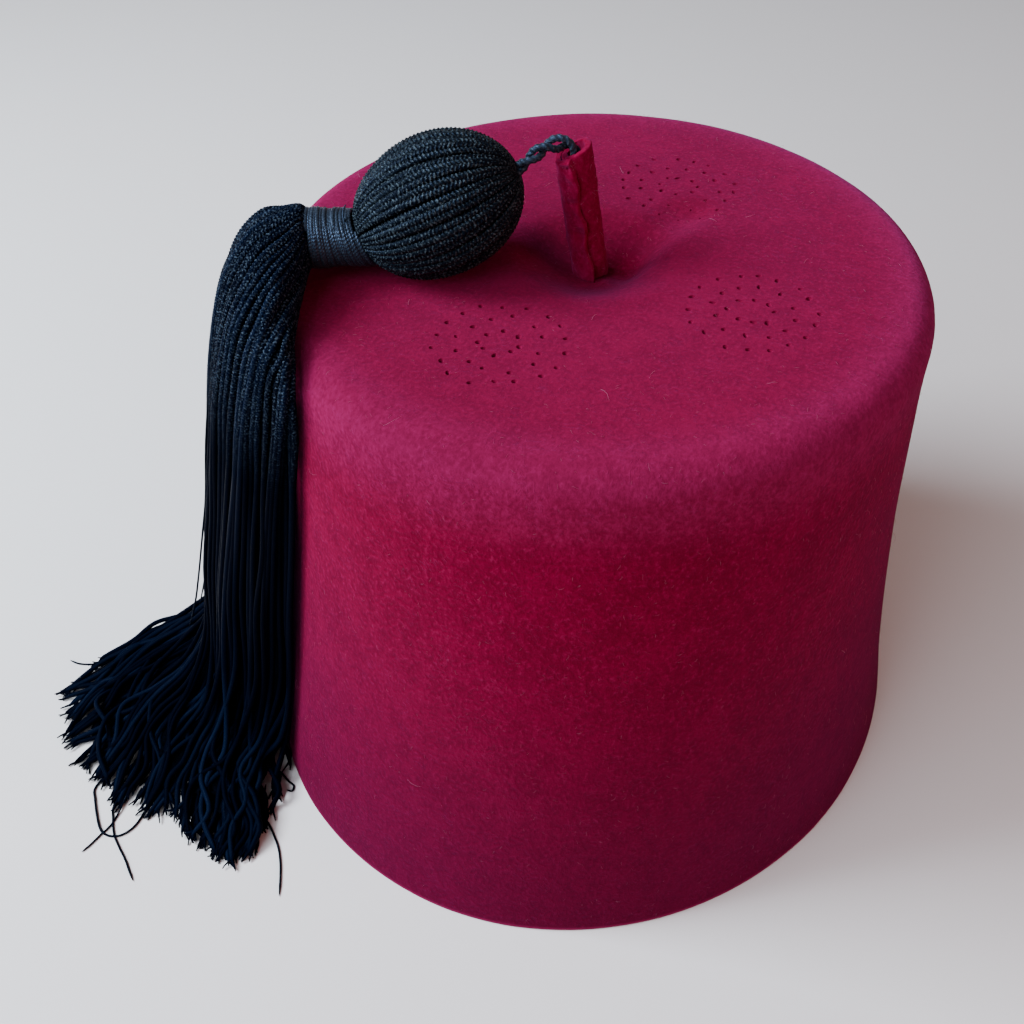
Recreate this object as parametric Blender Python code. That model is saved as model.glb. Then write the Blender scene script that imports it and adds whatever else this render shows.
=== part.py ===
"""Fez hat with its tassel, standing on its rim.

A tapering drum of blocked felt, open below, with a flat top that dips round a rolled felt
stem. A twisted cord comes out of the stem and holds a tassel: a round head covered with
cords, a wound neck and a skirt of locks that falls over the edge and fans out on the
surface. Metres, +Z up. The hat is modelled about its own axis, and the whole is then moved
so that the middle of its bounding box stands over the origin.
"""
import math

import bmesh
import bpy
from mathutils import Vector

MM = 0.001
GAP = 0.3 * MM

# Crown: the felt body.
CROWN_HEIGHT = 136.0 * MM
BASE_RADIUS = 91.6 * MM
SHOULDER_RADIUS = 73.25 * MM
EDGE_ROUNDING = 7.15 * MM
SHOULDER_HEIGHT = CROWN_HEIGHT - EDGE_ROUNDING
WAIST_DEPTH = 2.45 * MM
FELT = 2.5 * MM
BASE_OVAL = 0.040
TOP_OVAL = -0.005
LONG_AXIS = math.radians(90.0)
CROWN_SIDES = 48

# Rows of the crown: radii on the flat top, angles round the edge, heights on the wall.
TOP_RADII = [radius * MM for radius in (5.6, 8.5, 12.0, 16.0, 20.5, 26.0, 32.0, 51.5)]
EDGE_ANGLES = [math.radians(angle) for angle in (0.0, 30.0, 60.0, 90.0)]
OUTER_HEIGHTS = [height * MM for height in (105.0, 80.0, 55.0, 28.0, 0.0)]
INNER_HEIGHTS = [height * MM for height in (0.0, 40.0, 80.0)]

# Dimple round the stem, and the shallow crease that runs from it towards the back.
SEAT_RADIUS = TOP_RADII[0]
DIMPLE_RADIUS = 20.0 * MM
DIMPLE_DEPTH = 5.0 * MM
CREASE_START = Vector((7.0, -3.3)) * MM
CREASE_END = Vector((13.5, 31.0)) * MM
CREASE_DEPTH = 1.1 * MM
CREASE_WIDTH = 4.5 * MM
CREASE_ONSET = 3.0  # how many times sooner than the dimple the crease reaches its full depth

# Vents: pin-holes in rings, in a cluster on each side of the top that lies open. The pattern
# sits a little off the axis.
VENT_SHIFT = Vector((1.3, -1.8)) * MM
VENT_AZIMUTHS = [math.radians(angle) for angle in (0.0, 90.0, 270.0)]
VENT_DISTANCE = 37.3 * MM
VENT_RADIUS = 0.5 * MM
VENT_SIDES = 6
VENT_PIN_LOW = CROWN_HEIGHT - 2.0 * FELT
VENT_PIN_HIGH = CROWN_HEIGHT + FELT
VENT_RINGS = [  # ring radius, holes
    (4.2 * MM, 8),
    (8.8 * MM, 12),
    (13.2 * MM, 18),
]

# Stem: a felt strip rolled round the cord. It leans towards the tassel.
TASSEL_AZIMUTH = math.radians(218.0)
STEM_FOOT_REACH = 0.7 * MM
STEM_LEAN = 4.6 * MM
STEM_TOP = 160.7 * MM
STEM_TOP_SLOPE = -0.48
STEM_FOOT = CROWN_HEIGHT - DIMPLE_DEPTH + GAP
STEM_FELT = 1.2 * MM
STEM_HOLE_RADIUS = 1.85 * MM
STEM_TURNS = 1.12
STEM_STEPS = 20
STEM_ROWS = 3
STEM_SEAM = math.radians(262.0)

# Tassel head, neck and the cord that holds them, in the upright plane of the tassel.
TASSEL_SIDE = 3.5 * MM
BALL_REACH = 33.6 * MM
BALL_RADIUS = 14.5 * MM
BALL_HALF_LENGTH = 17.4 * MM
BALL_CORD_AXIS = 17.6 * MM
BALL_NECK_AXIS = 18.5 * MM
BALL_TILT = math.radians(22.0)
BALL_RIDGE = 0.35 * MM
BALL_SIDES = 44
BALL_ROWS = 11
BALL_SHARP_ANGLE = 50.0
NECK_START_GAP = 1.5 * GAP
NECK_END_REACH = 61.4 * MM
NECK_HEIGHT = 145.3 * MM
NECK_RADIUS = 6.2 * MM
NECK_RIDGE = 0.25 * MM
NECK_TURNS = 7
NECK_SIDES = 20
NECK_SHARP_ANGLE = 60.0
CORD_RADIUS = 1.45 * MM
CORD_ROUTE = [  # reach, side, height: from inside the stem over its edge to the tassel head
    (4.1 * MM, 0.0 * MM, 153.0 * MM),
    (4.75 * MM, 0.0 * MM, 157.0 * MM),
    (5.35 * MM, 0.1 * MM, 160.3 * MM),
    (7.4 * MM, 0.6 * MM, 162.3 * MM),
    (10.5 * MM, 1.5 * MM, 162.4 * MM),
    (13.6 * MM, 2.5 * MM, 161.2 * MM),
]
CORD_END_GAP = 2.0 * GAP
CORD_POINTS = 14
CORD_BEVEL = 2

# Skirt: sections of the bundle, from the neck over the edge, then down the wall. It spreads
# further to one side of the tassel's plane than to the other, so each has its own middle.
# Against the wall a section is a dome whose widest line lies close to the felt.
SKIRT_SIDES = 36
SKIRT_FLUTE = 0.045
SKIRT_CLEARANCE = 0.6 * MM
ROUND_SECTION = 0.5
DOME_SECTION = 0.14
EDGE_SECTIONS = [  # inner reach, inner height, outer reach, outer height, middle, half width
    (61.8 * MM, 139.5 * MM, 61.8 * MM, 151.1 * MM, 3.5 * MM, 6.0 * MM),
    (65.0 * MM, 137.4 * MM, 66.4 * MM, 151.2 * MM, 5.0 * MM, 13.0 * MM),
    (69.4 * MM, 136.6 * MM, 72.0 * MM, 149.4 * MM, 6.5 * MM, 20.0 * MM),
    (73.0 * MM, 134.0 * MM, 77.4 * MM, 143.8 * MM, 8.0 * MM, 24.0 * MM),
    (74.4 * MM, 130.0 * MM, 81.6 * MM, 135.0 * MM, 9.0 * MM, 26.0 * MM),
]
WALL_SECTIONS = [  # height, thickness, middle, half width
    (118.0 * MM, 13.2 * MM, 9.5 * MM, 27.0 * MM),
    (100.0 * MM, 16.0 * MM, 9.5 * MM, 26.5 * MM),
    (80.0 * MM, 18.4 * MM, 9.5 * MM, 26.0 * MM),
    (58.0 * MM, 20.8 * MM, 9.5 * MM, 26.0 * MM),
    (36.0 * MM, 22.6 * MM, 10.0 * MM, 26.5 * MM),
    (18.0 * MM, 24.4 * MM, 10.5 * MM, 27.5 * MM),
    (6.0 * MM, 25.4 * MM, 10.5 * MM, 27.5 * MM),
    (1.5 * MM, 23.0 * MM, 10.5 * MM, 25.0 * MM),
]
LOCK_ROOT_HEIGHT = 30.0 * MM
LOCK_SIDES = 8
LOCK_FLOOR_STEP = 0.2 * MM
LOCK_BEND = 0.45
LOCK_STRIDE = 0.02
LOCKS = [  # root reach, root side, tip reach, tip side
    (98.0 * MM, -6.0 * MM, 139.0 * MM, -3.5 * MM),
    (100.0 * MM, -2.0 * MM, 156.5 * MM, 8.0 * MM),
    (101.0 * MM, 2.0 * MM, 153.0 * MM, 22.5 * MM),
    (101.0 * MM, 6.0 * MM, 146.5 * MM, 35.0 * MM),
    (100.5 * MM, 9.5 * MM, 135.5 * MM, 45.0 * MM),
    (100.0 * MM, 12.0 * MM, 122.0 * MM, 50.0 * MM),
    (98.5 * MM, 16.0 * MM, 114.5 * MM, 61.0 * MM),
    (97.0 * MM, 19.0 * MM, 104.5 * MM, 66.0 * MM),
    (96.5 * MM, 21.0 * MM, 95.5 * MM, 66.5 * MM),
]
LOCK_SECTIONS = [  # share of the way, half width, half height
    (0.00, 4.5 * MM, 4.5 * MM),
    (0.20, 6.0 * MM, 5.0 * MM),
    (0.40, 8.0 * MM, 4.6 * MM),
    (0.60, 8.8 * MM, 3.8 * MM),
    (0.80, 7.4 * MM, 2.8 * MM),
    (0.93, 4.8 * MM, 2.0 * MM),
    (1.00, 2.6 * MM, 1.4 * MM),
]

# Finishes and shading.
FELT_COLOUR = (0.235, 0.009, 0.050)
FELT_ROUGHNESS = 0.95
THREAD_COLOUR = (0.010, 0.012, 0.018)
THREAD_ROUGHNESS = 0.55
SHARP_ANGLE = 35.0


def clear_scene():
    """Remove every object that is in the file."""
    for item in list(bpy.data.objects):
        bpy.data.objects.remove(item, do_unlink=True)


def make_material(name, colour, roughness):
    """Return a Principled material without metal."""
    material = bpy.data.materials.new(name)
    material.use_nodes = True
    shader = material.node_tree.nodes["Principled BSDF"]
    shader.inputs["Base Color"].default_value = (*colour, 1.0)
    shader.inputs["Roughness"].default_value = roughness
    shader.inputs["Metallic"].default_value = 0.0
    material.diffuse_color = (*colour, 1.0)
    return material


def smoothstep(share):
    """Ease from 0 to 1 over a share of the way."""
    share = min(max(share, 0.0), 1.0)
    return share * share * (3.0 - 2.0 * share)


def mix(start, end, share):
    """Blend two numbers."""
    return start + (end - start) * share


def loft(rings):
    """Return a mesh skinned over rings with equal counts, in order, with both ends capped."""
    mesh = bmesh.new()
    loops = [[mesh.verts.new(point) for point in ring] for ring in rings]
    for near, far in zip(loops, loops[1:]):
        for index, corner in enumerate(near):
            following = (index + 1) % len(near)
            mesh.faces.new((corner, near[following], far[following], far[index]))
    mesh.faces.new(list(reversed(loops[0])))
    mesh.faces.new(loops[-1])
    bmesh.ops.recalc_face_normals(mesh, faces=mesh.faces)
    return mesh


def add_object(name, mesh, material, root, sharp_angle=SHARP_ANGLE):
    """Turn a bmesh into a named, smooth-shaded object under the root empty."""
    data = bpy.data.meshes.new(name)
    mesh.to_mesh(data)
    mesh.free()
    data.shade_smooth()
    data.set_sharp_from_angle(angle=math.radians(sharp_angle))
    if material:
        data.materials.append(material)
    item = bpy.data.objects.new(name, data)
    item.parent = root
    bpy.context.scene.collection.objects.link(item)
    return item


def boolean(item, tool, operation):
    """Add an exact Boolean with a hidden wire tool."""
    tool.hide_render = True
    tool.display_type = "WIRE"
    modifier = item.modifiers.new(operation.title(), "BOOLEAN")
    modifier.operation = operation
    modifier.solver = "EXACT"
    modifier.object = tool


def oval_factor(azimuth, height):
    """Return how far the drum is out of round at a height, as a factor."""
    amount = mix(BASE_OVAL, TOP_OVAL, height / CROWN_HEIGHT)
    return 1.0 + amount * math.cos(2.0 * (azimuth - LONG_AXIS))


def crown_radius(azimuth, height):
    """Return the outer radius of the felt wall at an azimuth and a height."""
    share = height / SHOULDER_HEIGHT
    waist = WAIST_DEPTH * 4.0 * share * (1.0 - share)
    return (mix(BASE_RADIUS, SHOULDER_RADIUS, share) - waist) * oval_factor(azimuth, height)


def crease_depth(point):
    """Return the depth of the crease at a point of the flat top."""
    run = CREASE_END - CREASE_START
    along = (point - CREASE_START).dot(run) / run.length_squared
    nearest = CREASE_START + run * min(max(along, 0.0), 1.0)
    across = (point - nearest).length / CREASE_WIDTH
    fade = smoothstep(1.0 - abs(2.0 * min(max(along, 0.0), 1.0) - 1.0))
    return CREASE_DEPTH * fade * math.exp(-across * across)


def top_height(point):
    """Return the height of the top surface over a point."""
    out = (point.length - SEAT_RADIUS) / (DIMPLE_RADIUS - SEAT_RADIUS)
    dimple = DIMPLE_DEPTH * (1.0 - smoothstep(out))
    crease = crease_depth(point) * smoothstep(out * CREASE_ONSET)
    return CROWN_HEIGHT - dimple - crease


def crown_rings(wall_heights, inset):
    """Return rings from the seat outwards and down one face of the felt."""
    azimuths = [math.tau * step / CROWN_SIDES for step in range(CROWN_SIDES)]
    spokes = [Vector((math.cos(azimuth), math.sin(azimuth))) for azimuth in azimuths]
    rings = []
    for radius in TOP_RADII:
        flat = [spoke * radius for spoke in spokes]
        rings.append([(spot.x, spot.y, top_height(spot) - inset) for spot in flat])
    for angle in EDGE_ANGLES:
        height = SHOULDER_HEIGHT + (EDGE_ROUNDING - inset) * math.cos(angle)
        reach = SHOULDER_RADIUS - EDGE_ROUNDING + (EDGE_ROUNDING - inset) * math.sin(angle)
        ring = []
        for azimuth, spoke in zip(azimuths, spokes):
            spot = spoke * reach * oval_factor(azimuth, CROWN_HEIGHT)
            ring.append((spot.x, spot.y, height))
        rings.append(ring)
    for height in wall_heights:
        ring = []
        for azimuth, spoke in zip(azimuths, spokes):
            spot = spoke * (crown_radius(azimuth, height) - inset)
            ring.append((spot.x, spot.y, height))
        rings.append(ring)
    return rings


def vent_cutter():
    """Return upright pins for every vent hole, as one mesh."""
    mesh = bmesh.new()
    middle = (VENT_PIN_LOW + VENT_PIN_HIGH) / 2.0
    for azimuth in VENT_AZIMUTHS:
        spoke = Vector((math.cos(azimuth), math.sin(azimuth)))
        centre = VENT_SHIFT + spoke * VENT_DISTANCE
        for ring_radius, count in VENT_RINGS:
            for step in range(count):
                angle = azimuth + math.tau * (step + 0.5) / count
                spot = centre + Vector((math.cos(angle), math.sin(angle))) * ring_radius
                pin = bmesh.ops.create_cone(
                    mesh, cap_ends=True, segments=VENT_SIDES,
                    radius1=VENT_RADIUS, radius2=VENT_RADIUS, depth=VENT_PIN_HIGH - VENT_PIN_LOW)
                bmesh.ops.translate(mesh, vec=(*spot, middle), verts=pin["verts"])
    return mesh


def build_crown(material, root):
    """Build the felt drum with its wall, dimple, crease and vents."""
    outside = crown_rings(OUTER_HEIGHTS, 0.0)
    inside = crown_rings(list(reversed(INNER_HEIGHTS)), FELT)
    crown = add_object("crown", loft(outside + list(reversed(inside))), material, root)
    cutter = add_object("vent_cutter", vent_cutter(), None, root)
    boolean(crown, cutter, "DIFFERENCE")
    shading = crown.modifiers.new("Even shading", "WEIGHTED_NORMAL")
    shading.keep_sharp = True
    return crown


def tassel_point(reach, side, height):
    """Return a point from its distance along the tassel's azimuth, its side and height."""
    cosine = math.cos(TASSEL_AZIMUTH)
    sine = math.sin(TASSEL_AZIMUTH)
    return Vector((reach * cosine - side * sine, reach * sine + side * cosine, height))


def stem_section(height_share):
    """Return the outline of the rolled strip at a share of its height."""
    pitch = STEM_FELT + GAP
    outline = []
    faces = ((STEM_HOLE_RADIUS + STEM_FELT, range(STEM_STEPS + 1)),
             (STEM_HOLE_RADIUS, range(STEM_STEPS, -1, -1)))
    for start_radius, steps in faces:
        for step in steps:
            turn = STEM_TURNS * step / STEM_STEPS
            angle = STEM_SEAM - math.tau * (STEM_TURNS - turn)
            radius = start_radius + pitch * turn
            reach = radius * math.cos(angle - TASSEL_AZIMUTH)
            side = radius * math.sin(angle - TASSEL_AZIMUTH)
            top = STEM_TOP + STEM_TOP_SLOPE * reach
            height = mix(STEM_FOOT, top, height_share)
            lean = STEM_FOOT_REACH + STEM_LEAN * height_share
            outline.append(tassel_point(lean + reach, side, height))
    return outline


def build_stem(material, root):
    """Build the strip of felt rolled round the cord."""
    sections = [stem_section(row / STEM_ROWS) for row in range(STEM_ROWS + 1)]
    return add_object("stem", loft(sections), material, root)


def catmull_rom(points, share):
    """Return the point at a share of a smooth curve through the points."""
    place = share * (len(points) - 1)
    index = min(int(place), len(points) - 2)
    local = place - index
    before = points[max(index - 1, 0)]
    start = points[index]
    end = points[index + 1]
    after = points[min(index + 2, len(points) - 1)]
    linear = (end - before) * local
    square = (before * 2.0 - start * 5.0 + end * 4.0 - after) * local ** 2
    cubic = (start * 3.0 - before - end * 3.0 + after) * local ** 3
    return start + (linear + square + cubic) * 0.5


def build_loop_cord(material, root):
    """Build the cord from inside the stem to the tassel head as a round tube."""
    route = [tassel_point(*place) for place in CORD_ROUTE]
    route.append(ball_point(-BALL_HALF_LENGTH - CORD_END_GAP, 0.0, 0.0))
    curve = bpy.data.curves.new("loop_cord", "CURVE")
    curve.dimensions = "3D"
    curve.bevel_depth = CORD_RADIUS
    curve.bevel_resolution = CORD_BEVEL
    curve.use_fill_caps = True
    spline = curve.splines.new("POLY")
    spline.points.add(CORD_POINTS - 1)
    for index, point in enumerate(spline.points):
        spot = catmull_rom(route, index / (CORD_POINTS - 1))
        point.co = (*spot, 1.0)
    curve.materials.append(material)
    item = bpy.data.objects.new("loop_cord", curve)
    item.parent = root
    bpy.context.scene.collection.objects.link(item)
    return item


def ball_height():
    """Return the height of the ball's middle when its lowest ridge clears the top."""
    ridge = BALL_RADIUS + BALL_RIDGE
    along = BALL_HALF_LENGTH * math.sin(BALL_TILT)
    across = ridge * math.cos(BALL_TILT)
    return CROWN_HEIGHT + GAP + math.hypot(along, across)


def ball_point(along, radius, angle):
    """Return a point from its place along the ball's tilted axis and round it."""
    lift = radius * math.cos(angle)
    reach = BALL_REACH + along * math.cos(BALL_TILT) + lift * math.sin(BALL_TILT)
    height = ball_height() - along * math.sin(BALL_TILT) + lift * math.cos(BALL_TILT)
    return tassel_point(reach, TASSEL_SIDE + radius * math.sin(angle), height)


def ball_station(row):
    """Return the place along the axis and the radius of one row of the ball."""
    start = math.acos(BALL_HALF_LENGTH / BALL_CORD_AXIS)
    end = math.pi - math.acos(BALL_HALF_LENGTH / BALL_NECK_AXIS)
    angle = mix(start, end, row / (BALL_ROWS - 1))
    half_axis = BALL_CORD_AXIS if math.cos(angle) > 0.0 else BALL_NECK_AXIS
    return -half_axis * math.cos(angle), BALL_RADIUS * math.sin(angle)


def build_ball(material, root):
    """Build the round tassel head with lengthwise ridges."""
    rings = []
    for row in range(BALL_ROWS):
        along, radius = ball_station(row)
        ridge = BALL_RIDGE * radius / BALL_RADIUS
        ring = []
        for step in range(BALL_SIDES):
            raised = radius + (ridge if step % 2 else -ridge)
            ring.append(ball_point(along, raised, math.tau * step / BALL_SIDES))
        rings.append(ring)
    return add_object("tassel_ball", loft(rings), material, root, BALL_SHARP_ANGLE)


def build_neck(material, root):
    """Build the wound neck, turning from the ball's tilt to level."""
    start = ball_point(BALL_HALF_LENGTH + NECK_START_GAP, 0.0, 0.0)
    end = tassel_point(NECK_END_REACH, TASSEL_SIDE, NECK_HEIGHT)
    rows = 2 * NECK_TURNS
    rings = []
    for row in range(rows + 1):
        share = row / rows
        centre = start.lerp(end, share)
        tilt = BALL_TILT * (1.0 - smoothstep(share))
        radius = NECK_RADIUS + (NECK_RIDGE if row % 2 else -NECK_RIDGE)
        ring = []
        for step in range(NECK_SIDES):
            angle = math.tau * step / NECK_SIDES
            lift = radius * math.cos(angle)
            offset = tassel_point(lift * math.sin(tilt), radius * math.sin(angle), 0.0)
            ring.append(centre + offset + Vector((0.0, 0.0, lift * math.cos(tilt))))
        rings.append(ring)
    return add_object("neck_wrap", loft(rings), material, root, NECK_SHARP_ANGLE)


def skirt_section(inner, outer, middle, half_width, widest, hug):
    """Return a fluted outline between two lines.

    The widest share is how far out from the inner line the section is widest, and hug is how
    far it is wrapped round the drum.
    """
    edge_radius = crown_radius(TASSEL_AZIMUTH, min(inner.y, SHOULDER_HEIGHT))
    outline = []
    for step in range(SKIRT_SIDES):
        angle = math.tau * step / SKIRT_SIDES
        flute = 1.0 - (SKIRT_FLUTE if step % 2 else 0.0)
        outward = math.cos(angle) * flute
        span = 1.0 - widest if outward > 0.0 else widest
        spot = inner.lerp(outer, widest + span * outward)
        side = middle + half_width * math.sin(angle) * flute
        azimuth = TASSEL_AZIMUTH + math.atan2(side, inner.x)
        radius = inner.x * crown_radius(azimuth, min(inner.y, SHOULDER_HEIGHT)) / edge_radius
        wrap = inner.x - math.sqrt(radius ** 2 - side ** 2)
        outline.append(tassel_point(spot.x - wrap * hug, side, spot.y))
    return outline


def skirt_core():
    """Return the bundle from the neck over the edge and down the wall."""
    rings = []
    for row, section in enumerate(EDGE_SECTIONS):
        inner_reach, inner_height, outer_reach, outer_height, middle, half_width = section
        inner = Vector((inner_reach, inner_height))
        outer = Vector((outer_reach, outer_height))
        widest = mix(ROUND_SECTION, DOME_SECTION, row / (len(EDGE_SECTIONS) - 1))
        hug = 1.0 if row else 0.0
        rings.append(skirt_section(inner, outer, middle, half_width, widest, hug))
    for height, thickness, middle, half_width in WALL_SECTIONS:
        reach = crown_radius(TASSEL_AZIMUTH, height) + SKIRT_CLEARANCE
        inner = Vector((reach, height))
        outer = Vector((reach + thickness, height))
        rings.append(skirt_section(inner, outer, middle, half_width, DOME_SECTION, 1.0))
    return loft(rings)


def bezier(points, share):
    """Return the point at a share of a cubic Bezier curve."""
    rest = 1.0 - share
    start, first, second, end = points
    return (start * rest ** 3 + first * 3.0 * rest ** 2 * share
            + second * 3.0 * rest * share ** 2 + end * share ** 3)


def skirt_lock(index):
    """Return one lock that leaves the bundle and lies along the surface to its tip."""
    root_reach, root_side, tip_reach, tip_side = LOCKS[index]
    floor = GAP + LOCK_FLOOR_STEP * (index % 2)
    tip_height = LOCK_SECTIONS[-1][2] + floor
    root = tassel_point(root_reach, root_side, LOCK_ROOT_HEIGHT)
    below = tassel_point(root_reach, root_side, tip_height)
    tip = tassel_point(tip_reach, tip_side, tip_height)
    route = (root, below, below.lerp(tip, LOCK_BEND), tip)
    forward = (tip - below).normalized()
    across = forward.cross(Vector((0.0, 0.0, 1.0)))
    rings = []
    for share, half_width, half_height in LOCK_SECTIONS:
        centre = bezier(route, share)
        before = bezier(route, max(share - LOCK_STRIDE, 0.0))
        tangent = bezier(route, min(share + LOCK_STRIDE, 1.0)) - before
        upward = across.cross(tangent).normalized()
        ring = []
        for step in range(LOCK_SIDES):
            angle = math.tau * (step + 0.5) / LOCK_SIDES
            spot = centre + across * half_width * math.cos(angle)
            spot = spot + upward * half_height * math.sin(angle)
            spot.z = max(spot.z, floor)
            ring.append(spot)
        rings.append(ring)
    return loft(rings)


def build_skirt(material, root):
    """Build the bundle and fuse every lock to it."""
    skirt = add_object("tassel_skirt", skirt_core(), material, root)
    for index in range(len(LOCKS)):
        lock = add_object(f"skirt_lock_{index}", skirt_lock(index), None, root)
        boolean(skirt, lock, "UNION")
    return skirt


def stand_on_origin(items, root):
    """Move the root so that the middle of the bounding box stands over the origin."""
    bpy.context.view_layer.update()
    graph = bpy.context.evaluated_depsgraph_get()
    points = []
    for item in items:
        evaluated = item.evaluated_get(graph)
        mesh = evaluated.to_mesh()
        points.extend(item.matrix_world @ vertex.co for vertex in mesh.vertices)
        evaluated.to_mesh_clear()
    middle = [(min(values) + max(values)) / 2.0 for values in zip(*points)]
    root.location = (-middle[0], -middle[1], 0.0)
    bpy.context.view_layer.update()


def main():
    """Build every piece and stand the hat on the origin."""
    clear_scene()
    root = bpy.data.objects.new("fez_hat", None)
    bpy.context.scene.collection.objects.link(root)
    felt = make_material("crimson_felt", FELT_COLOUR, FELT_ROUGHNESS)
    thread = make_material("black_thread", THREAD_COLOUR, THREAD_ROUGHNESS)
    items = [
        build_crown(felt, root),
        build_stem(felt, root),
        build_loop_cord(thread, root),
        build_ball(thread, root),
        build_neck(thread, root),
        build_skirt(thread, root),
    ]
    stand_on_origin(items, root)


if __name__ == "__main__":
    main()
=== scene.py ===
"""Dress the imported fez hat: blocked felt, rolled felt stem and a tassel of twisted cords.

Everything is in metres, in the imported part's own frame. The hat stands on its rim, its own
axis upright. The tassel's places are given by reach (outwards along its azimuth), side
(across it, towards the near edge) and height.
"""
import logging
import math
from dataclasses import dataclass, field
from enum import Enum
from functools import cache, cached_property
from typing import Callable, NamedTuple, Optional, Sequence

import bmesh
import bpy
import numpy as np
from mathutils import Matrix, Vector


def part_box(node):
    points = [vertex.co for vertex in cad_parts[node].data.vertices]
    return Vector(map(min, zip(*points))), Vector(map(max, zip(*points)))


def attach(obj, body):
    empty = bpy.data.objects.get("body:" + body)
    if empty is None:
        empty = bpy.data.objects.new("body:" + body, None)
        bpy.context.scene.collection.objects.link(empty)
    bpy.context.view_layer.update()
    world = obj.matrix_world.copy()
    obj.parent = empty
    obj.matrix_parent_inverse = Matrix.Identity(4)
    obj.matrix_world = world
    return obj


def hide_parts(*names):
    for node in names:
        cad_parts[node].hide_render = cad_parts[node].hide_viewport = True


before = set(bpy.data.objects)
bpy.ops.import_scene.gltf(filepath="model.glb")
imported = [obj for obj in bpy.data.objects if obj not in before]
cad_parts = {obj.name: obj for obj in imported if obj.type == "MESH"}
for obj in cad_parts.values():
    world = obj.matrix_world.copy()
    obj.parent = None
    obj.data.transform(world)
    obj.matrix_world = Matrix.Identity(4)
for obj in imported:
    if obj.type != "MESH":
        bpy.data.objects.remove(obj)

Colour = tuple[float, float, float]
Table = tuple[tuple[float, ...], ...]

MM = 0.001
TURN = math.tau
RIGHT_ANGLE = math.radians(90.0)
SHARP = math.radians(60.0)
MIDDLE = (0.0, 0.0, 0.0)
UP = (0.0, 0.0, 1.0)
LOG = logging.getLogger("fez")


class Slot(Enum):
    """The material slots of the record, one handed over with each piece."""

    FELT = "crimson_felt"
    THREAD = "black_thread"


class Twist(Enum):
    """Which way the two plies of a cord turn."""

    LEFT = -1
    RIGHT = 1

    @classmethod
    def of(cls, index: int) -> "Twist":
        """Return the twist of a numbered cord, so that neighbours turn against each other."""
        return cls.RIGHT if index % 2 else cls.LEFT


def smoothstep(share: np.ndarray) -> np.ndarray:
    """Return shares of the way eased from 0 to 1, and held there outside."""
    held = np.clip(share, 0.0, 1.0)
    return held * held * (3.0 - 2.0 * held)


def mix(start: float, end: float, share: float) -> float:
    """Return the blend of two numbers or arrays."""
    return start + (end - start) * share


def unit(vectors: np.ndarray) -> np.ndarray:
    """Return the rows scaled to length 1."""
    return vectors / np.maximum(np.linalg.norm(vectors, axis=-1, keepdims=True), 1e-12)


def spoke(angle: float) -> np.ndarray:
    """Return the level direction at an angle."""
    return np.array((math.cos(angle), math.sin(angle), 0.0))


def show(name: str, data: bpy.types.ID) -> bpy.types.Object:
    """Return a new object of the scene that holds some data."""
    item = bpy.data.objects.new(name, data)
    bpy.context.scene.collection.objects.link(item)
    return item


# --- Places and forms


@dataclass(frozen=True)
class HatPlace:
    """Where the hat's axis stands and which way the tassel hangs."""

    axis_x: float
    axis_y: float
    azimuth: float = math.radians(218.0)

    @classmethod
    def from_frame(cls) -> "HatPlace":
        """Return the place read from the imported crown's box."""
        low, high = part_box("crown")
        return cls((low[0] + high[0]) / 2.0, (low[1] + high[1]) / 2.0)

    def about(self, height: float) -> tuple[float, float, float]:
        """Return the point of the axis at a height."""
        return (self.axis_x, self.axis_y, height)

    def point(self, reach: float, side: float, height: float) -> Vector:
        """Return one point from its reach, side and height."""
        return Vector(self.points(np.array([[reach, side, height]]))[0])

    def points(self, places: np.ndarray) -> np.ndarray:
        """Turn rows of reach, side and height into points of the frame.

        Args:
            places: Rows of reach, side and height.

        Returns:
            Rows of x, y and z.
        """
        cosine, sine = math.cos(self.azimuth), math.sin(self.azimuth)
        reach, side, height = np.asarray(places, float).T
        return np.column_stack((
            self.axis_x + reach * cosine - side * sine,
            self.axis_y + reach * sine + side * cosine,
            height,
        ))

    def turned(self, directions: np.ndarray) -> np.ndarray:
        """Turn rows of directions, given as reach, side and height, into the frame."""
        return self.points(directions) - np.array([self.axis_x, self.axis_y, 0.0])


class Ring(NamedTuple):
    """One level ring of the drum: its height and its half axes."""

    height: float
    half_x: float
    half_y: float


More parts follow.
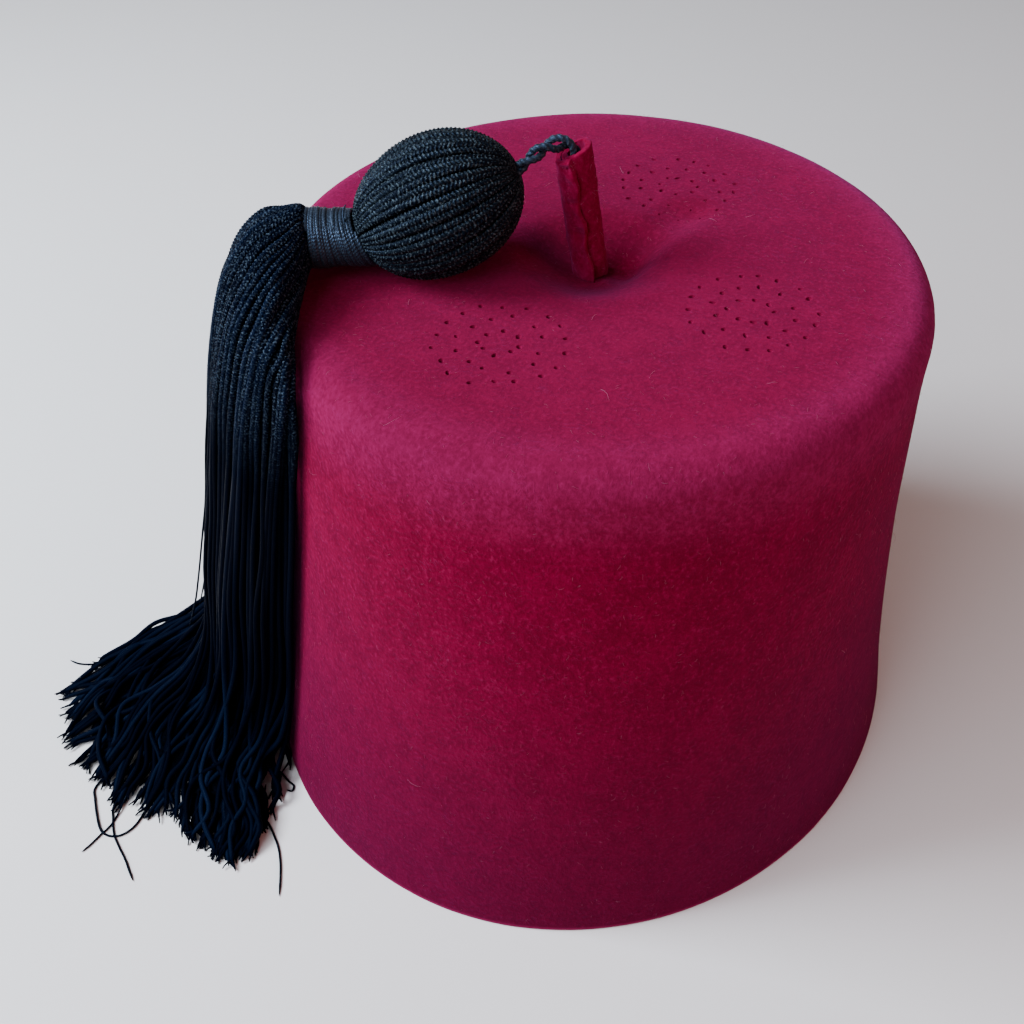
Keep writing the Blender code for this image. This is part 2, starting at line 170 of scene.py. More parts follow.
@dataclass(frozen=True)
class DrumShape:
    """The outer surface of the felt drum about its own axis."""

    height: float = 136.0 * MM
    base_radius: float = 91.6 * MM
    shoulder_radius: float = 73.25 * MM
    edge_rounding: float = 7.15 * MM
    waist_depth: float = 2.45 * MM
    felt: float = 2.5 * MM
    base_oval: float = 0.040
    top_oval: float = -0.005
    long_axis: float = math.radians(90.0)
    seat_radius: float = 5.6 * MM
    dimple_radius: float = 20.0 * MM
    dimple_depth: float = 5.0 * MM
    eye_radius: float = 1.0 * MM
    dimple_edge: float = 2.0 * MM
    wall_rows: int = 26
    edge_rows: int = 9
    top_rows: int = 20
    dimple_rows: int = 14

    @property
    def shoulder_height(self) -> float:
        """Return the height at which the wall ends and the edge's rounding starts."""
        return self.height - self.edge_rounding

    def oval(self, height: float) -> float:
        """Return how far the drum is out of round at a height."""
        return mix(self.base_oval, self.top_oval, height / self.height)

    def wall_radius(self, height: float) -> float:
        """Return the mean outer radius of the wall at a height."""
        share = height / self.shoulder_height
        waist = self.waist_depth * 4.0 * share * (1.0 - share)
        return mix(self.base_radius, self.shoulder_radius, share) - waist

    def radius(self, azimuth: np.ndarray, height: np.ndarray) -> np.ndarray:
        """Return the outer radius of the wall at an azimuth and a height."""
        out = 1.0 + self.oval(height) * np.cos(2.0 * (azimuth - self.long_axis))
        return self.wall_radius(height) * out

    def top_height(self, radius: float) -> float:
        """Return the height of the top at a distance from the axis."""
        out = (radius - self.seat_radius) / (self.dimple_radius - self.seat_radius)
        return self.height - self.dimple_depth * (1.0 - float(smoothstep(out)))

    def ring(self, radius: float, height: float, oval_height: float) -> Ring:
        """Return the ring of a mean radius with the oval of a height."""
        amount = self.oval(oval_height)
        return Ring(height, radius * (1.0 - amount), radius * (1.0 + amount))

    def rings(self) -> list[Ring]:
        """Return the rings from the rim up the wall, over the edge and in to the stem's seat."""
        rows = []
        for step in range(self.wall_rows):
            height = self.shoulder_height * step / self.wall_rows
            rows.append(self.ring(self.wall_radius(height), height, height))
        flat_radius = self.shoulder_radius - self.edge_rounding
        for step in range(self.edge_rows + 1):
            angle = RIGHT_ANGLE * (1.0 - step / self.edge_rows)
            height = self.shoulder_height + self.edge_rounding * math.cos(angle)
            radius = flat_radius + self.edge_rounding * math.sin(angle)
            rows.append(self.ring(radius, height, self.height))
        inner = self.dimple_radius + self.dimple_edge
        for outside, inside, count in ((flat_radius, inner, self.top_rows),
                                       (inner, self.eye_radius, self.dimple_rows)):
            for step in range(1, count + 1):
                radius = mix(outside, inside, step / count)
                rows.append(self.ring(radius, self.top_height(radius), self.height))
        return rows


# --- The bench: moves that shape a piece by hand


class Bench:
    """The editing moves that the felt pieces are shaped with."""

    @staticmethod
    def clear() -> None:
        """Leave nothing selected."""
        for item in list(bpy.context.selected_objects):
            item.select_set(False)

    @staticmethod
    def take(item: bpy.types.Object) -> None:
        """Select one object alone and make it active."""
        Bench.clear()
        item.select_set(True)
        bpy.context.view_layer.objects.active = item

    @staticmethod
    def edit(item: bpy.types.Object) -> None:
        """Open one object in edit mode."""
        Bench.take(item)
        bpy.ops.object.mode_set(mode="EDIT")

    @staticmethod
    def close() -> None:
        """Leave edit mode."""
        bpy.ops.object.mode_set(mode="OBJECT")

    @staticmethod
    def all() -> None:
        """Select all of the open object."""
        bpy.ops.mesh.select_all(action="SELECT")

    @staticmethod
    def extrude(rise: float) -> None:
        """Extrude what is selected straight up."""
        bpy.ops.mesh.extrude_region_move(TRANSFORM_OT_translate={"value": (0.0, 0.0, rise)})

    @staticmethod
    def scale(size: Sequence[float], centre: Sequence[float] = MIDDLE) -> None:
        """Scale what is selected about a point."""
        bpy.ops.transform.resize(value=size, center_override=centre)

    @staticmethod
    def turn(angle: float, centre: Sequence[float]) -> None:
        """Turn what is selected anticlockwise, seen from above, about an upright line."""
        bpy.ops.transform.rotate(value=-angle, orient_axis="Z", center_override=centre)

    @staticmethod
    def face_outwards() -> None:
        """Turn all faces of the open object outwards."""
        Bench.all()
        bpy.ops.mesh.normals_make_consistent(inside=False)

    @staticmethod
    def pick(item: bpy.types.Object, test: Callable[[Vector], bool]) -> int:
        """Select the vertices of the open object whose place passes a test.

        Args:
            item: The object that is open in edit mode.
            test: Says for a point of the frame whether it is wanted.

        Returns:
            How many vertices are selected.
        """
        mesh = bmesh.from_edit_mesh(item.data)
        for part in (mesh.faces, mesh.edges, mesh.verts):
            for element in part:
                element.select = False
        count = 0
        for vertex in mesh.verts:
            if test(item.matrix_world @ vertex.co):
                vertex.select = True
                count += 1
        mesh.select_flush_mode()
        bmesh.update_edit_mesh(item.data)
        return count

    @staticmethod
    def shift(move: Sequence[float], size: float, connected: bool = True) -> None:
        """Move what is selected, and what lies round it less and less."""
        bpy.ops.transform.translate(
            value=move, use_proportional_edit=True, use_proportional_connected=connected,
            proportional_edit_falloff="SMOOTH", proportional_size=size)

    @staticmethod
    def press(item: bpy.types.Object, spot: Vector, move: Vector, near: float,
              size: float) -> None:
        """Move the vertices nearer to a spot than a distance, and others less and less."""
        if Bench.pick(item, lambda place: (place - spot).length < near):
            Bench.shift(move, size)

    @staticmethod
    def modify(item: bpy.types.Object, kind: str, **settings: object) -> None:
        """Give an object a modifier and apply it.

        Args:
            item: The object to change.
            kind: The modifier's type.
            settings: The modifier's values.
        """
        Bench.take(item)
        modifier = item.modifiers.new(kind.title(), kind)
        for name, value in settings.items():
            setattr(modifier, name, value)
        bpy.ops.object.modifier_apply(modifier=modifier.name)

    @staticmethod
    def roughen(item: bpy.types.Object, name: str, grain: float, depth: float) -> None:
        """Push a surface in and out with soft clouds.

        Args:
            item: The object to change.
            name: The name of the clouds.
            grain: Their size.
            depth: The distance between the deepest and the highest place.
        """
        clouds = bpy.data.textures.new(name, "CLOUDS")
        clouds.noise_scale = grain
        Bench.modify(item, "DISPLACE", texture=clouds, texture_coords="LOCAL",
                     strength=depth, mid_level=0.5)

    @staticmethod
    def settle(item: bpy.types.Object) -> None:
        """Put an object's place into its mesh."""
        Bench.take(item)
        bpy.ops.object.transform_apply(location=True, rotation=True, scale=True)

    @staticmethod
    def smooth(item: bpy.types.Object, angle: float) -> None:
        """Shade an object smooth except over edges sharper than an angle in degrees."""
        Bench.take(item)
        bpy.ops.object.shade_smooth_by_angle(angle=math.radians(angle))

    @staticmethod
    def merged_copy(node: str, name: str) -> bpy.types.Object:
        """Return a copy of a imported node's solid as a closed mesh, without materials."""
        copy = show(name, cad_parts[node].data.copy())
        copy.data.name = name
        copy.data.materials.clear()
        Bench.edit(copy)
        Bench.all()
        bpy.ops.mesh.remove_doubles(threshold=0.01 * MM)
        Bench.close()
        return copy


# --- Cords: round tubes with the relief of two twisted plies


def smooth_line(points: np.ndarray, per_span: int = 12) -> np.ndarray:
    """Draw a smooth line through points.

    Args:
        points: The points to pass through, at least two.
        per_span: How many pieces each span between two points has.

    Returns:
        The points of the line.
    """
    ends = np.vstack((2 * points[0] - points[1], points, 2 * points[-1] - points[-2]))
    share = np.linspace(0.0, 1.0, per_span, endpoint=False)[:, None]
    spans = []
    for before, start, end, after in zip(ends, ends[1:], ends[2:], ends[3:]):
        spans.append(0.5 * (
            2.0 * start + (end - before) * share
            + (2.0 * before - 5.0 * start + 4.0 * end - after) * share ** 2
            + (3.0 * start - before - 3.0 * end + after) * share ** 3))
    return np.vstack((*spans, points[-1:]))


def run_of(line: np.ndarray) -> np.ndarray:
    """Return how far along the line each of its points lies."""
    steps = np.linalg.norm(np.diff(line, axis=0), axis=1)
    return np.concatenate(([0.0], np.cumsum(steps)))


def walk(line: np.ndarray, stations: np.ndarray,
         guide: Optional[np.ndarray] = None) -> np.ndarray:
    """Return the points of a line at distances along it, or along its guide."""
    run = run_of(line if guide is None else guide)
    return np.column_stack([np.interp(stations, run, column) for column in line.T])


def transported(tangent: np.ndarray) -> np.ndarray:
    """Carry a cross direction along a line without twisting it.

    Args:
        tangent: The line's direction at each point.

    Returns:
        A direction across the line at each point.
    """
    across = np.empty_like(tangent)
    upright = abs(tangent[0][2]) > 0.8
    previous = np.cross(tangent[0], (1.0, 0.0, 0.0) if upright else UP)
    for index, direction in enumerate(tangent):
        previous = previous - direction * previous.dot(direction)
        previous = previous / max(math.sqrt(previous.dot(previous)), 1e-12)
        across[index] = previous
    return across


@dataclass
class CordMesh:
    """Gathers tubes in one mesh, with a map that runs round and along each of them.

    The map's first number goes once round the tube and its second counts the turns of the
    plies. Each point also keeps its cord's shade and how much ply relief the finish adds.
    """

    lay: float = 2.0 * MM
    vertices: list = field(default_factory=list)
    corners: list = field(default_factory=list)
    counts: list = field(default_factory=list)
    maps: list = field(default_factory=list)
    shades: list = field(default_factory=list)
    plies: list = field(default_factory=list)
    total: int = 0

    def add(self, path: np.ndarray, gauge: np.ndarray, sides: int = 6,
            breadth: Optional[np.ndarray] = None, face: Optional[np.ndarray] = None,
            relief: Optional[np.ndarray] = None, twist: Twist = Twist.RIGHT,
            shade: float | np.ndarray = 0.5, ply: float | np.ndarray = 0.0) -> None:
        """Add one closed tube.

        Args:
            path: The points of its middle line.
            gauge: Its half thickness at each point.
            sides: How many corners its section has.
            breadth: Its half width at each point, if it isn't round.
            face: The direction that its thickness is measured in, at each point.
            relief: How far the plies stand out, as a share of the gauge.
            twist: Which way the plies turn.
            shade: The cord's own lightness, from 0 to 1, once or at each point.
            ply: How much relief the finish adds, from 0 to 1, once or at each point.
        """
        rows = len(path)
        tangent = unit(np.gradient(path, axis=0))
        if face is None:
            outward = transported(tangent)
        else:
            outward = unit(face - tangent * np.sum(face * tangent, axis=1, keepdims=True))
        across = np.cross(tangent, outward)
        turns = twist.value * run_of(path) / self.lay
        angle = TURN * np.arange(sides) / sides
        swell = np.ones((rows, sides))
        if relief is not None:
            phase = angle[None, :] - TURN * turns[:, None]
            swell += relief[:, None] * (np.cos(2.0 * phase) - 0.5)
        breadth = gauge if breadth is None else breadth
        lift = (gauge[:, None] * swell * np.cos(angle))[..., None] * outward[:, None, :]
        slide = (breadth[:, None] * swell * np.sin(angle))[..., None] * across[:, None, :]
        self.vertices.append((path[:, None, :] + lift + slide).reshape(-1, 3))
        row, column = np.meshgrid(np.arange(rows - 1), np.arange(sides), indexing="ij")
        following = (column + 1) % sides
        near, far = row * sides, (row + 1) * sides
        quads = np.stack((near + column, near + following, far + following, far + column), -1)
        self.corners.append(quads.reshape(-1) + self.total)
        self.counts.append(np.full((rows - 1) * sides, 4))
        around = np.stack((column, column + 1, column + 1, column), -1) / sides
        along = np.stack((turns[row], turns[row], turns[row + 1], turns[row + 1]), -1)
        self.maps.append(np.stack((around, along), -1).reshape(-1, 2))
        start = np.arange(sides)[::-1]
        end = np.arange(sides) + (rows - 1) * sides
        for cap, turn in ((start, turns[0]), (end, turns[-1])):
            self.corners.append(cap + self.total)
            self.counts.append(np.array([sides]))
            self.maps.append(np.column_stack((np.full(sides, 0.5), np.full(sides, turn))))
        for kept, value in ((self.shades, shade), (self.plies, ply)):
            kept.append(np.repeat(np.broadcast_to(value, (rows,)), sides))
        self.total += rows * sides

    def build(self, name: str) -> bpy.types.Object:
        """Make the gathered tubes one object.

        Args:
            name: The object's name.

        Returns:
            The new object, in the scene.
        """
        mesh = bpy.data.meshes.new(name)
        points = np.concatenate(self.vertices)
        corners = np.concatenate(self.corners)
        counts = np.concatenate(self.counts)
        mesh.vertices.add(len(points))
        mesh.vertices.foreach_set("co", points.ravel())
        mesh.loops.add(len(corners))
        mesh.loops.foreach_set("vertex_index", corners.astype(np.int32))
        mesh.polygons.add(len(counts))
        starts = np.concatenate(([0], np.cumsum(counts)[:-1]))
        mesh.polygons.foreach_set("loop_start", starts.astype(np.int32))
        mesh.update(calc_edges=True)
        mesh.validate()
        layer = mesh.uv_layers.new(name="cord")
        layer.data.foreach_set("uv", np.concatenate(self.maps).ravel())
        for label, values in (("shade", self.shades), ("ply", self.plies)):
            attribute = mesh.attributes.new(label, "FLOAT", "POINT")
            attribute.data.foreach_set("value", np.concatenate(values))
        mesh.shade_smooth()
        return show(name, mesh)


BLUNT_END = 0.45
BLUNT_NEXT = 0.85


class CordPiece:
    """What the pieces made of cords share: their own draw and a mesh that gathers them."""

    seed: int = 0
    lay: float = 2.0 * MM

    def __post_init__(self) -> None:
        """Lay out the draw and the mesh."""
        self.rng = np.random.default_rng(self.seed)
        self.mesh = CordMesh(lay=self.lay)


def rounded_ends(gauge: np.ndarray) -> np.ndarray:
    """Return half thicknesses drawn in at both ends, so that a tube ends in blunt domes."""
    shaped = gauge.copy()
    shaped[[0, -1]] *= BLUNT_END
    shaped[[1, -2]] *= BLUNT_NEXT
    return shaped


# --- Finishes


class Graph:
    """Lays out shader nodes in a node tree."""

    def __init__(self, tree: bpy.types.NodeTree) -> None:
        """Keep the tree that the nodes go into."""
        self.tree = tree

    def add(self, kind: str, **settings: object) -> bpy.types.Node:
        """Add a node and set its properties."""
        node = self.tree.nodes.new("ShaderNode" + kind)
        for name, value in settings.items():
            setattr(node, name, value)
        return node

    def feed(self, socket: bpy.types.NodeSocket, value: object) -> None:
        """Link a socket to another, or set its value. A colour is given as three numbers."""
        if isinstance(value, bpy.types.NodeSocket):
            self.tree.links.new(value, socket)
        elif socket.type == "RGBA":
            socket.default_value = (*value, 1.0)
        else:
            socket.default_value = value

    def fill(self, node: bpy.types.Node, values: dict[str, object]) -> bpy.types.Node:
        """Feed several inputs of a node by name, and return the node."""
        for name, value in values.items():
            self.feed(node.inputs[name], value)
        return node

    def place(self) -> bpy.types.NodeSocket:
        """Return the place on the object."""
        return self.add("TexCoord").outputs["Object"]

    def split(self, vector: object) -> Sequence[bpy.types.NodeSocket]:
        """Return a vector's three numbers."""
        node = self.add("SeparateXYZ")
        self.feed(node.inputs[0], vector)
        return node.outputs

    def kept(self, name: str) -> bpy.types.NodeSocket:
        """Return a number that the mesh keeps at each point."""
        return self.add("Attribute", attribute_name=name).outputs["Fac"]

    def math(self, operation: str, first: object, second: object = 0.0,
             third: object = 0.0, clamp: bool = False) -> bpy.types.NodeSocket:
        """Return the result of a Math node."""
        node = self.add("Math", operation=operation, use_clamp=clamp)
        for socket, value in zip(node.inputs, (first, second, third)):
            self.feed(socket, value)
        return node.outputs[0]

    def times(self, *factors: object) -> bpy.types.NodeSocket:
        """Return the product of two or more numbers."""
        product = factors[0]
        for factor in factors[1:]:
            product = self.math("MULTIPLY", product, factor)
        return product

    def total(self, *terms: tuple[object, float], plus: object = 0.0) -> bpy.types.NodeSocket:
        """Return the sum of terms, each a number with its weight, and of one number more."""
        amount = plus
        for value, weight in reversed(terms):
            amount = self.math("MULTIPLY_ADD", value, weight, amount)
        return amount

    def scaled(self, vector: object, scale: Sequence[float]) -> bpy.types.NodeSocket:
        """Return a vector multiplied by three numbers."""
        node = self.add("VectorMath", operation="MULTIPLY")
        for socket, value in zip(node.inputs, (vector, scale)):
            self.feed(socket, value)
        return node.outputs[0]

    def blend(self, factor: object, first: object, second: object) -> bpy.types.NodeSocket:
        """Return two colours mixed by a factor."""
        node = self.add("Mix", data_type="RGBA")
        for index, value in ((0, factor), (6, first), (7, second)):
            self.feed(node.inputs[index], value)
        return node.outputs[2]

    def ramp(self, value: object, low: float, high: float, start: float = 0.0,
             end: float = 1.0) -> bpy.types.NodeSocket:
        """Return a value moved from one range to another, smoothly and clamped."""
        node = self.add("MapRange", interpolation_type="SMOOTHSTEP")
        for socket, entry in zip(node.inputs, (value, low, high, start, end)):
            self.feed(socket, entry)
        return node.outputs[0]

    def noise(self, vector: object, scale: float, detail: float = 2.0,
              roughness: float = 0.5, distortion: float = 0.0) -> bpy.types.NodeSocket:
        """Return the grey of a noise texture."""
        return self.fill(self.add("TexNoise"), {
            "Vector": vector, "Scale": scale, "Detail": detail, "Roughness": roughness,
            "Distortion": distortion}).outputs[0]

    def bump(self, height: object, depth: float, strength: float) -> bpy.types.NodeSocket:
        """Return the surface's direction when a height dents it."""
        return self.fill(self.add("Bump"), {
            "Height": height, "Distance": depth, "Strength": strength}).outputs["Normal"]


def open_group(name: str, inputs: dict[str, str]) -> tuple[Graph, dict, bpy.types.Node]:
    """Start a node group that gives a surface's colour, height and roughness.

    Args:
        name: The group's name.
        inputs: The kinds of its inputs by name.

    Returns:
        Its graph, its input sockets by name, and its output node.
    """
    tree = bpy.data.node_groups.new(name, "ShaderNodeTree")
    outputs = {"Colour": "Color", "Height": "Float", "Roughness": "Float"}
    for direction, sockets in (("INPUT", inputs), ("OUTPUT", outputs)):
        for label, kind in sockets.items():
            tree.interface.new_socket(label, in_out=direction, socket_type="NodeSocket" + kind)
    graph = Graph(tree)
    entry = graph.tree.nodes.new("NodeGroupInput")
    given = {socket.name: socket for socket in entry.outputs if socket.name}
    return graph, given, graph.tree.nodes.new("NodeGroupOutput")


class Effects:
    """The surface effects that more than one finish uses, each built once."""

    @staticmethod
    @cache
    def nap() -> bpy.types.NodeTree:
        """Return the felt's effect: mottled wool with fine hairs lying on it."""
        graph, given, out = open_group("wool_nap", {
            "Place": "Vector", "Wool": "Color", "Deep": "Color", "Pale": "Color"})
        place = given["Place"]
        combed = graph.scaled(place, (1.0, 1.0, 0.82))
        speckle = graph.noise(combed, 1120.0, 3.0, 0.63)
        matting = graph.noise(combed, 270.0, 3.0, 0.6)
        blotch = graph.noise(place, 62.0, 3.0, 0.6)
        cloud = graph.noise(place, 16.0, 2.0, 0.5)
        ridge = graph.math("ABSOLUTE", graph.math(
            "SUBTRACT", graph.noise(combed, 330.0, 1.0, 0.5, 1.6), 0.5))
        broken = graph.ramp(graph.noise(place, 210.0, 1.0), 0.50, 0.60)
        hair = graph.times(graph.ramp(ridge, 0.0, 0.022, 1.0, 0.0), broken)
        light = graph.total((speckle, 0.50), (matting, 0.30), (blotch, 0.16), (cloud, 0.14))
        body = graph.blend(graph.ramp(light, 0.43, 0.67), given["Deep"], given["Wool"])
        tuft = graph.ramp(speckle, 0.55, 0.76, 0.0, 0.24)
        for paler in (tuft, graph.times(hair, 0.10)):
            body = graph.blend(paler, body, given["Pale"])
        graph.fill(out, {
            "Colour": body,
            "Height": graph.total((speckle, 0.70), (matting, 0.40), (hair, 0.15)),
            "Roughness": graph.ramp(light, 0.3, 0.8, 1.0, 0.86)})
        return graph.tree

    @staticmethod
    @cache
    def ply() -> bpy.types.NodeTree:
        """Return the thread's effect: two twisted plies of fine filaments."""
        graph, given, out = open_group("twisted_ply", {
            "Map": "Vector", "Place": "Vector", "Shade": "Float", "Ply": "Float",
            "Dark": "Color", "Light": "Color", "Glint": "Color"})
        around, along = graph.split(given["Map"])[:2]
        turn = graph.times(graph.math("SUBTRACT", around, along), 2.0 * TURN)
        plies = graph.total((graph.math("COSINE", turn), 0.5), plus=0.5)
        strand = graph.total((around, 11.0), (along, -4.0))
        filament = graph.total((graph.math("COSINE", graph.times(strand, TURN)), 0.5), plus=0.5)
        uneven = graph.noise(given["Place"], 520.0, 2.0, 0.6)
        body = graph.times(plies, given["Ply"])
        # Painted light: the raised plies are a little lighter, and pale glint specks are painted
        # into the colour where the plies are raised and twisted.
        tone = graph.total((given["Shade"], 0.75), (uneven, 0.35), (body, 0.15))
        colour = graph.blend(graph.ramp(tone, 0.15, 1.05), given["Dark"], given["Light"])
        specks = graph.ramp(graph.noise(given["Place"], 2300.0, 1.0), 0.50, 0.66)
        raised = graph.total((plies, 0.8), plus=0.2)
        twisted = graph.math("MULTIPLY_ADD", given["Ply"], 3.2, -0.36, clamp=True)
        dull = graph.total((given["Shade"], -0.55), (uneven, 0.5), plus=0.55)
        graph.fill(out, {
            "Colour": graph.blend(graph.times(specks, raised, twisted), colour, given["Glint"]),
            "Height": graph.total((filament, 0.10), (uneven, 0.22), plus=body),
            "Roughness": graph.ramp(dull, 0.2, 0.9, 0.24, 0.58)})
        return graph.tree


class Finish:
    """What the finishes share: a material of their own name with one Principled shader."""

    name: str

    def material(self) -> bpy.types.Material:
        """Return the finish as a material."""
        material = bpy.data.materials.new(self.name)
        material.use_nodes = True
        graph = Graph(material.node_tree)
        graph.fill(material.node_tree.nodes["Principled BSDF"], self.inputs(graph))
        return material

    def inputs(self, graph: Graph) -> dict[str, object]:
        """Return the shader's inputs by name."""
        raise NotImplementedError


@dataclass(frozen=True)
class FeltFinish(Finish):
    """Matted crimson wool with a soft bloom and pale hairs."""

    name: str
    wool: Colour = (0.156, 0.0004, 0.0175)
    deep: Colour = (0.106, 0.0002, 0.0085)
    pale: Colour = (0.280, 0.014, 0.085)
    bloom: Colour = (0.30, 0.17, 0.78)
    bloom_amount: float = 0.084
    depth: float = 0.45 * MM

    def inputs(self, graph: Graph) -> dict[str, object]:
        """Return the shader's inputs by name."""
        place = graph.place()
        effect = graph.fill(graph.add("Group", node_tree=Effects.nap()), {
            "Place": place, "Wool": self.wool, "Deep": self.deep, "Pale": self.pale}).outputs
        return {
            "Base Color": self.painted_light_and_cut(graph, effect["Colour"], effect["Height"], place),
            "Roughness": effect["Roughness"],
            "Normal": graph.bump(effect["Height"], self.depth, 0.72),
            "Specular IOR Level": 0.01,
            "Diffuse Roughness": 0.6,
            "Sheen Weight": self.bloom_amount,
            "Sheen Roughness": 0.5,
            "Sheen Tint": self.bloom,
        }

    def painted_light_and_cut(self, graph: Graph, colour: object, height: object,
             place: object) -> bpy.types.NodeSocket:
        """Return the colour with painted light and the rim's cut, here as it is.

        Args:
            graph: The material's graph; not used here.
            colour: The wool's own colour.
            height: The height of its nap; not used here.
            place: The place on the object; not used here.

        Returns:
            The changed colour.
        """
        return colour


@dataclass(frozen=True)
class CrownFinish(FeltFinish):
    """The drum's felt: a painted highlight at the edge, painted sheen on top and painted shade
    towards the foot.
    """

    name: str = "crown_felt"
    # colour of the painted highlight on the rounded top edge
    painted_highlight: Colour = (0.230, 0.0120, 0.078)
    # colour of the painted sheen on the top
    top_sheen_colour: Colour = (0.195, 0.018, 0.094)
    # colour of the painted shade towards the foot
    painted_foot_shade: Colour = (0.040, 0.0002, 0.010)
    edge_highlight_width: float = 16.0 * MM
    cut_height: float = 1.6 * MM
    drum: DrumShape = DrumShape()

    def painted_light_and_cut(self, graph: Graph, colour: object, height: object,
             place: object) -> bpy.types.NodeSocket:
        """Return the wool's colour with painted highlight, sheen and shade, and the paler cut at
        the rim.
        """
        hat = HatPlace.from_frame()
        x, y, level = graph.split(place)
        away = graph.math("SQRT", graph.math("ADD", *(
            graph.math("POWER", graph.math("SUBTRACT", number, middle), 2.0)
            for number, middle in ((x, hat.axis_x), (y, hat.axis_y)))))
        rim, shoulder = self.drum.shoulder_radius, self.drum.shoulder_height
        # painted highlight: the rounded top edge is paler and bluer, broken up by the nap
        edge_highlight = graph.times(
            graph.ramp(away, rim - self.edge_highlight_width, rim - 1.0 * MM),
            graph.ramp(level, shoulder - self.edge_highlight_width, shoulder + 2.0 * MM),
            graph.ramp(height, 0.40, 0.75, 0.22, 0.50))
        # painted sheen: the top is paler, greyer and bluer than the walls
        painted_top_sheen = graph.ramp(level, shoulder, shoulder + 4.0 * MM, 0.0, 0.15)
        # painted shade: the wall darkens towards the foot, where the light falls off
        painted_foot_shade = graph.ramp(level, 0.0, 0.85 * shoulder, 0.55, 0.0)
        raw = graph.ramp(level, 0.4 * self.cut_height, self.cut_height, 0.45, 0.0)
        for amount, tint in ((edge_highlight, self.painted_highlight), (painted_top_sheen, self.top_sheen_colour),
                             (painted_foot_shade, self.painted_foot_shade), (raw, self.pale)):
            colour = graph.blend(amount, colour, tint)
        return colour


@dataclass(frozen=True)
class FibreFinish(Finish):
    """Loose wool hairs, from the felt's own red to nearly white."""

    name: str
    red: Colour = (0.17, 0.004, 0.035)
    white: Colour = (0.50, 0.20, 0.34)

    def inputs(self, graph: Graph) -> dict[str, object]:
        """Return the shader's inputs by name."""
        uneven = graph.noise(graph.place(), 900.0, 2.0)
        tone = graph.math("MULTIPLY_ADD", uneven, 0.3, graph.kept("shade"), clamp=True)
        return {
            "Base Color": graph.blend(tone, self.red, self.white),
            "Roughness": graph.ramp(uneven, 0.3, 0.7, 0.75, 0.95),
            "Specular IOR Level": 0.2,
        }


@dataclass(frozen=True)
class ThreadFinish(Finish):
    """Blue-black rayon thread with a soft slate shine."""

    name: str
    dark: Colour = (0.0002, 0.0005, 0.0026)
    light: Colour = (0.0018, 0.0044, 0.0142)
    glint: Colour = (0.040, 0.062, 0.090)
    shine: Colour = (0.26, 0.52, 1.0)
    gloss: float = 0.012
    sheen: float = 0.0
    depth: float = 0.30 * MM

    def inputs(self, graph: Graph) -> dict[str, object]:
        """Return the shader's inputs by name."""
        effect = graph.fill(graph.add("Group", node_tree=Effects.ply()), {
            "Map": graph.add("UVMap", uv_map="cord").outputs[0], "Place": graph.place(),
            "Shade": graph.kept("shade"), "Ply": graph.kept("ply"),
            "Dark": self.dark, "Light": self.light, "Glint": self.glint}).outputs
        return {
            "Base Color": effect["Colour"],
            "Roughness": effect["Roughness"],
            "Normal": graph.bump(effect["Height"], self.depth, 0.9),
            "Specular IOR Level": self.gloss,
            "Specular Tint": self.shine,
            "Sheen Weight": self.sheen,
            "Sheen Roughness": 0.35,
            "Sheen Tint": self.shine,
        }


@dataclass(frozen=True)
class PackedThreadFinish(Finish):
    """The inner cords, painted darker than the thread as the shade between the outer ones."""

    name: str
    dark: Colour = (0.0002, 0.0004, 0.0010)
    light: Colour = (0.0006, 0.0012, 0.0034)
    depth: float = 0.4 * MM

    def inputs(self, graph: Graph) -> dict[str, object]:
        """Return the shader's inputs by name."""
        streaks = graph.noise(graph.scaled(graph.place(), (1.0, 1.0, 0.06)), 900.0, 3.0, 0.6)
        return {
            "Base Color": graph.blend(graph.ramp(streaks, 0.35, 0.7), self.dark, self.light),
            "Roughness": graph.ramp(streaks, 0.3, 0.7, 0.65, 0.85),
            "Normal": graph.bump(streaks, self.depth, 1.0),
            "Specular IOR Level": 0.005,
        }


@dataclass(frozen=True)
class FloorFinish(Finish):
    """The studio's pale floor."""

    name: str
    colour: Colour = (0.70, 0.705, 0.715)
    darker: float = 0.985

    def inputs(self, graph: Graph) -> dict[str, object]:
        """Return the shader's inputs by name."""
        dark = tuple(value * self.darker for value in self.colour)
        return {
            "Base Color": graph.blend(graph.noise(graph.place(), 40.0, 3.0), dark, self.colour),
            "Roughness": 0.8,
            "Specular IOR Level": 0.1,
        }


def hand_over(piece: bpy.types.Object, finish: bpy.types.Material, slot: Slot,
              *nodes: str) -> None:
    """Give a finished piece its material and body, and hide the imported nodes that it replaces.
    """
    piece.data.materials.clear()
    piece.data.materials.append(finish)
    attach(piece, "root")
    if nodes:
        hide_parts(*nodes)
    triangles = sum(len(face.vertices) - 2 for face in piece.data.polygons)
    LOG.info("%s: %d triangles", piece.name, triangles)


# --- The felt pieces


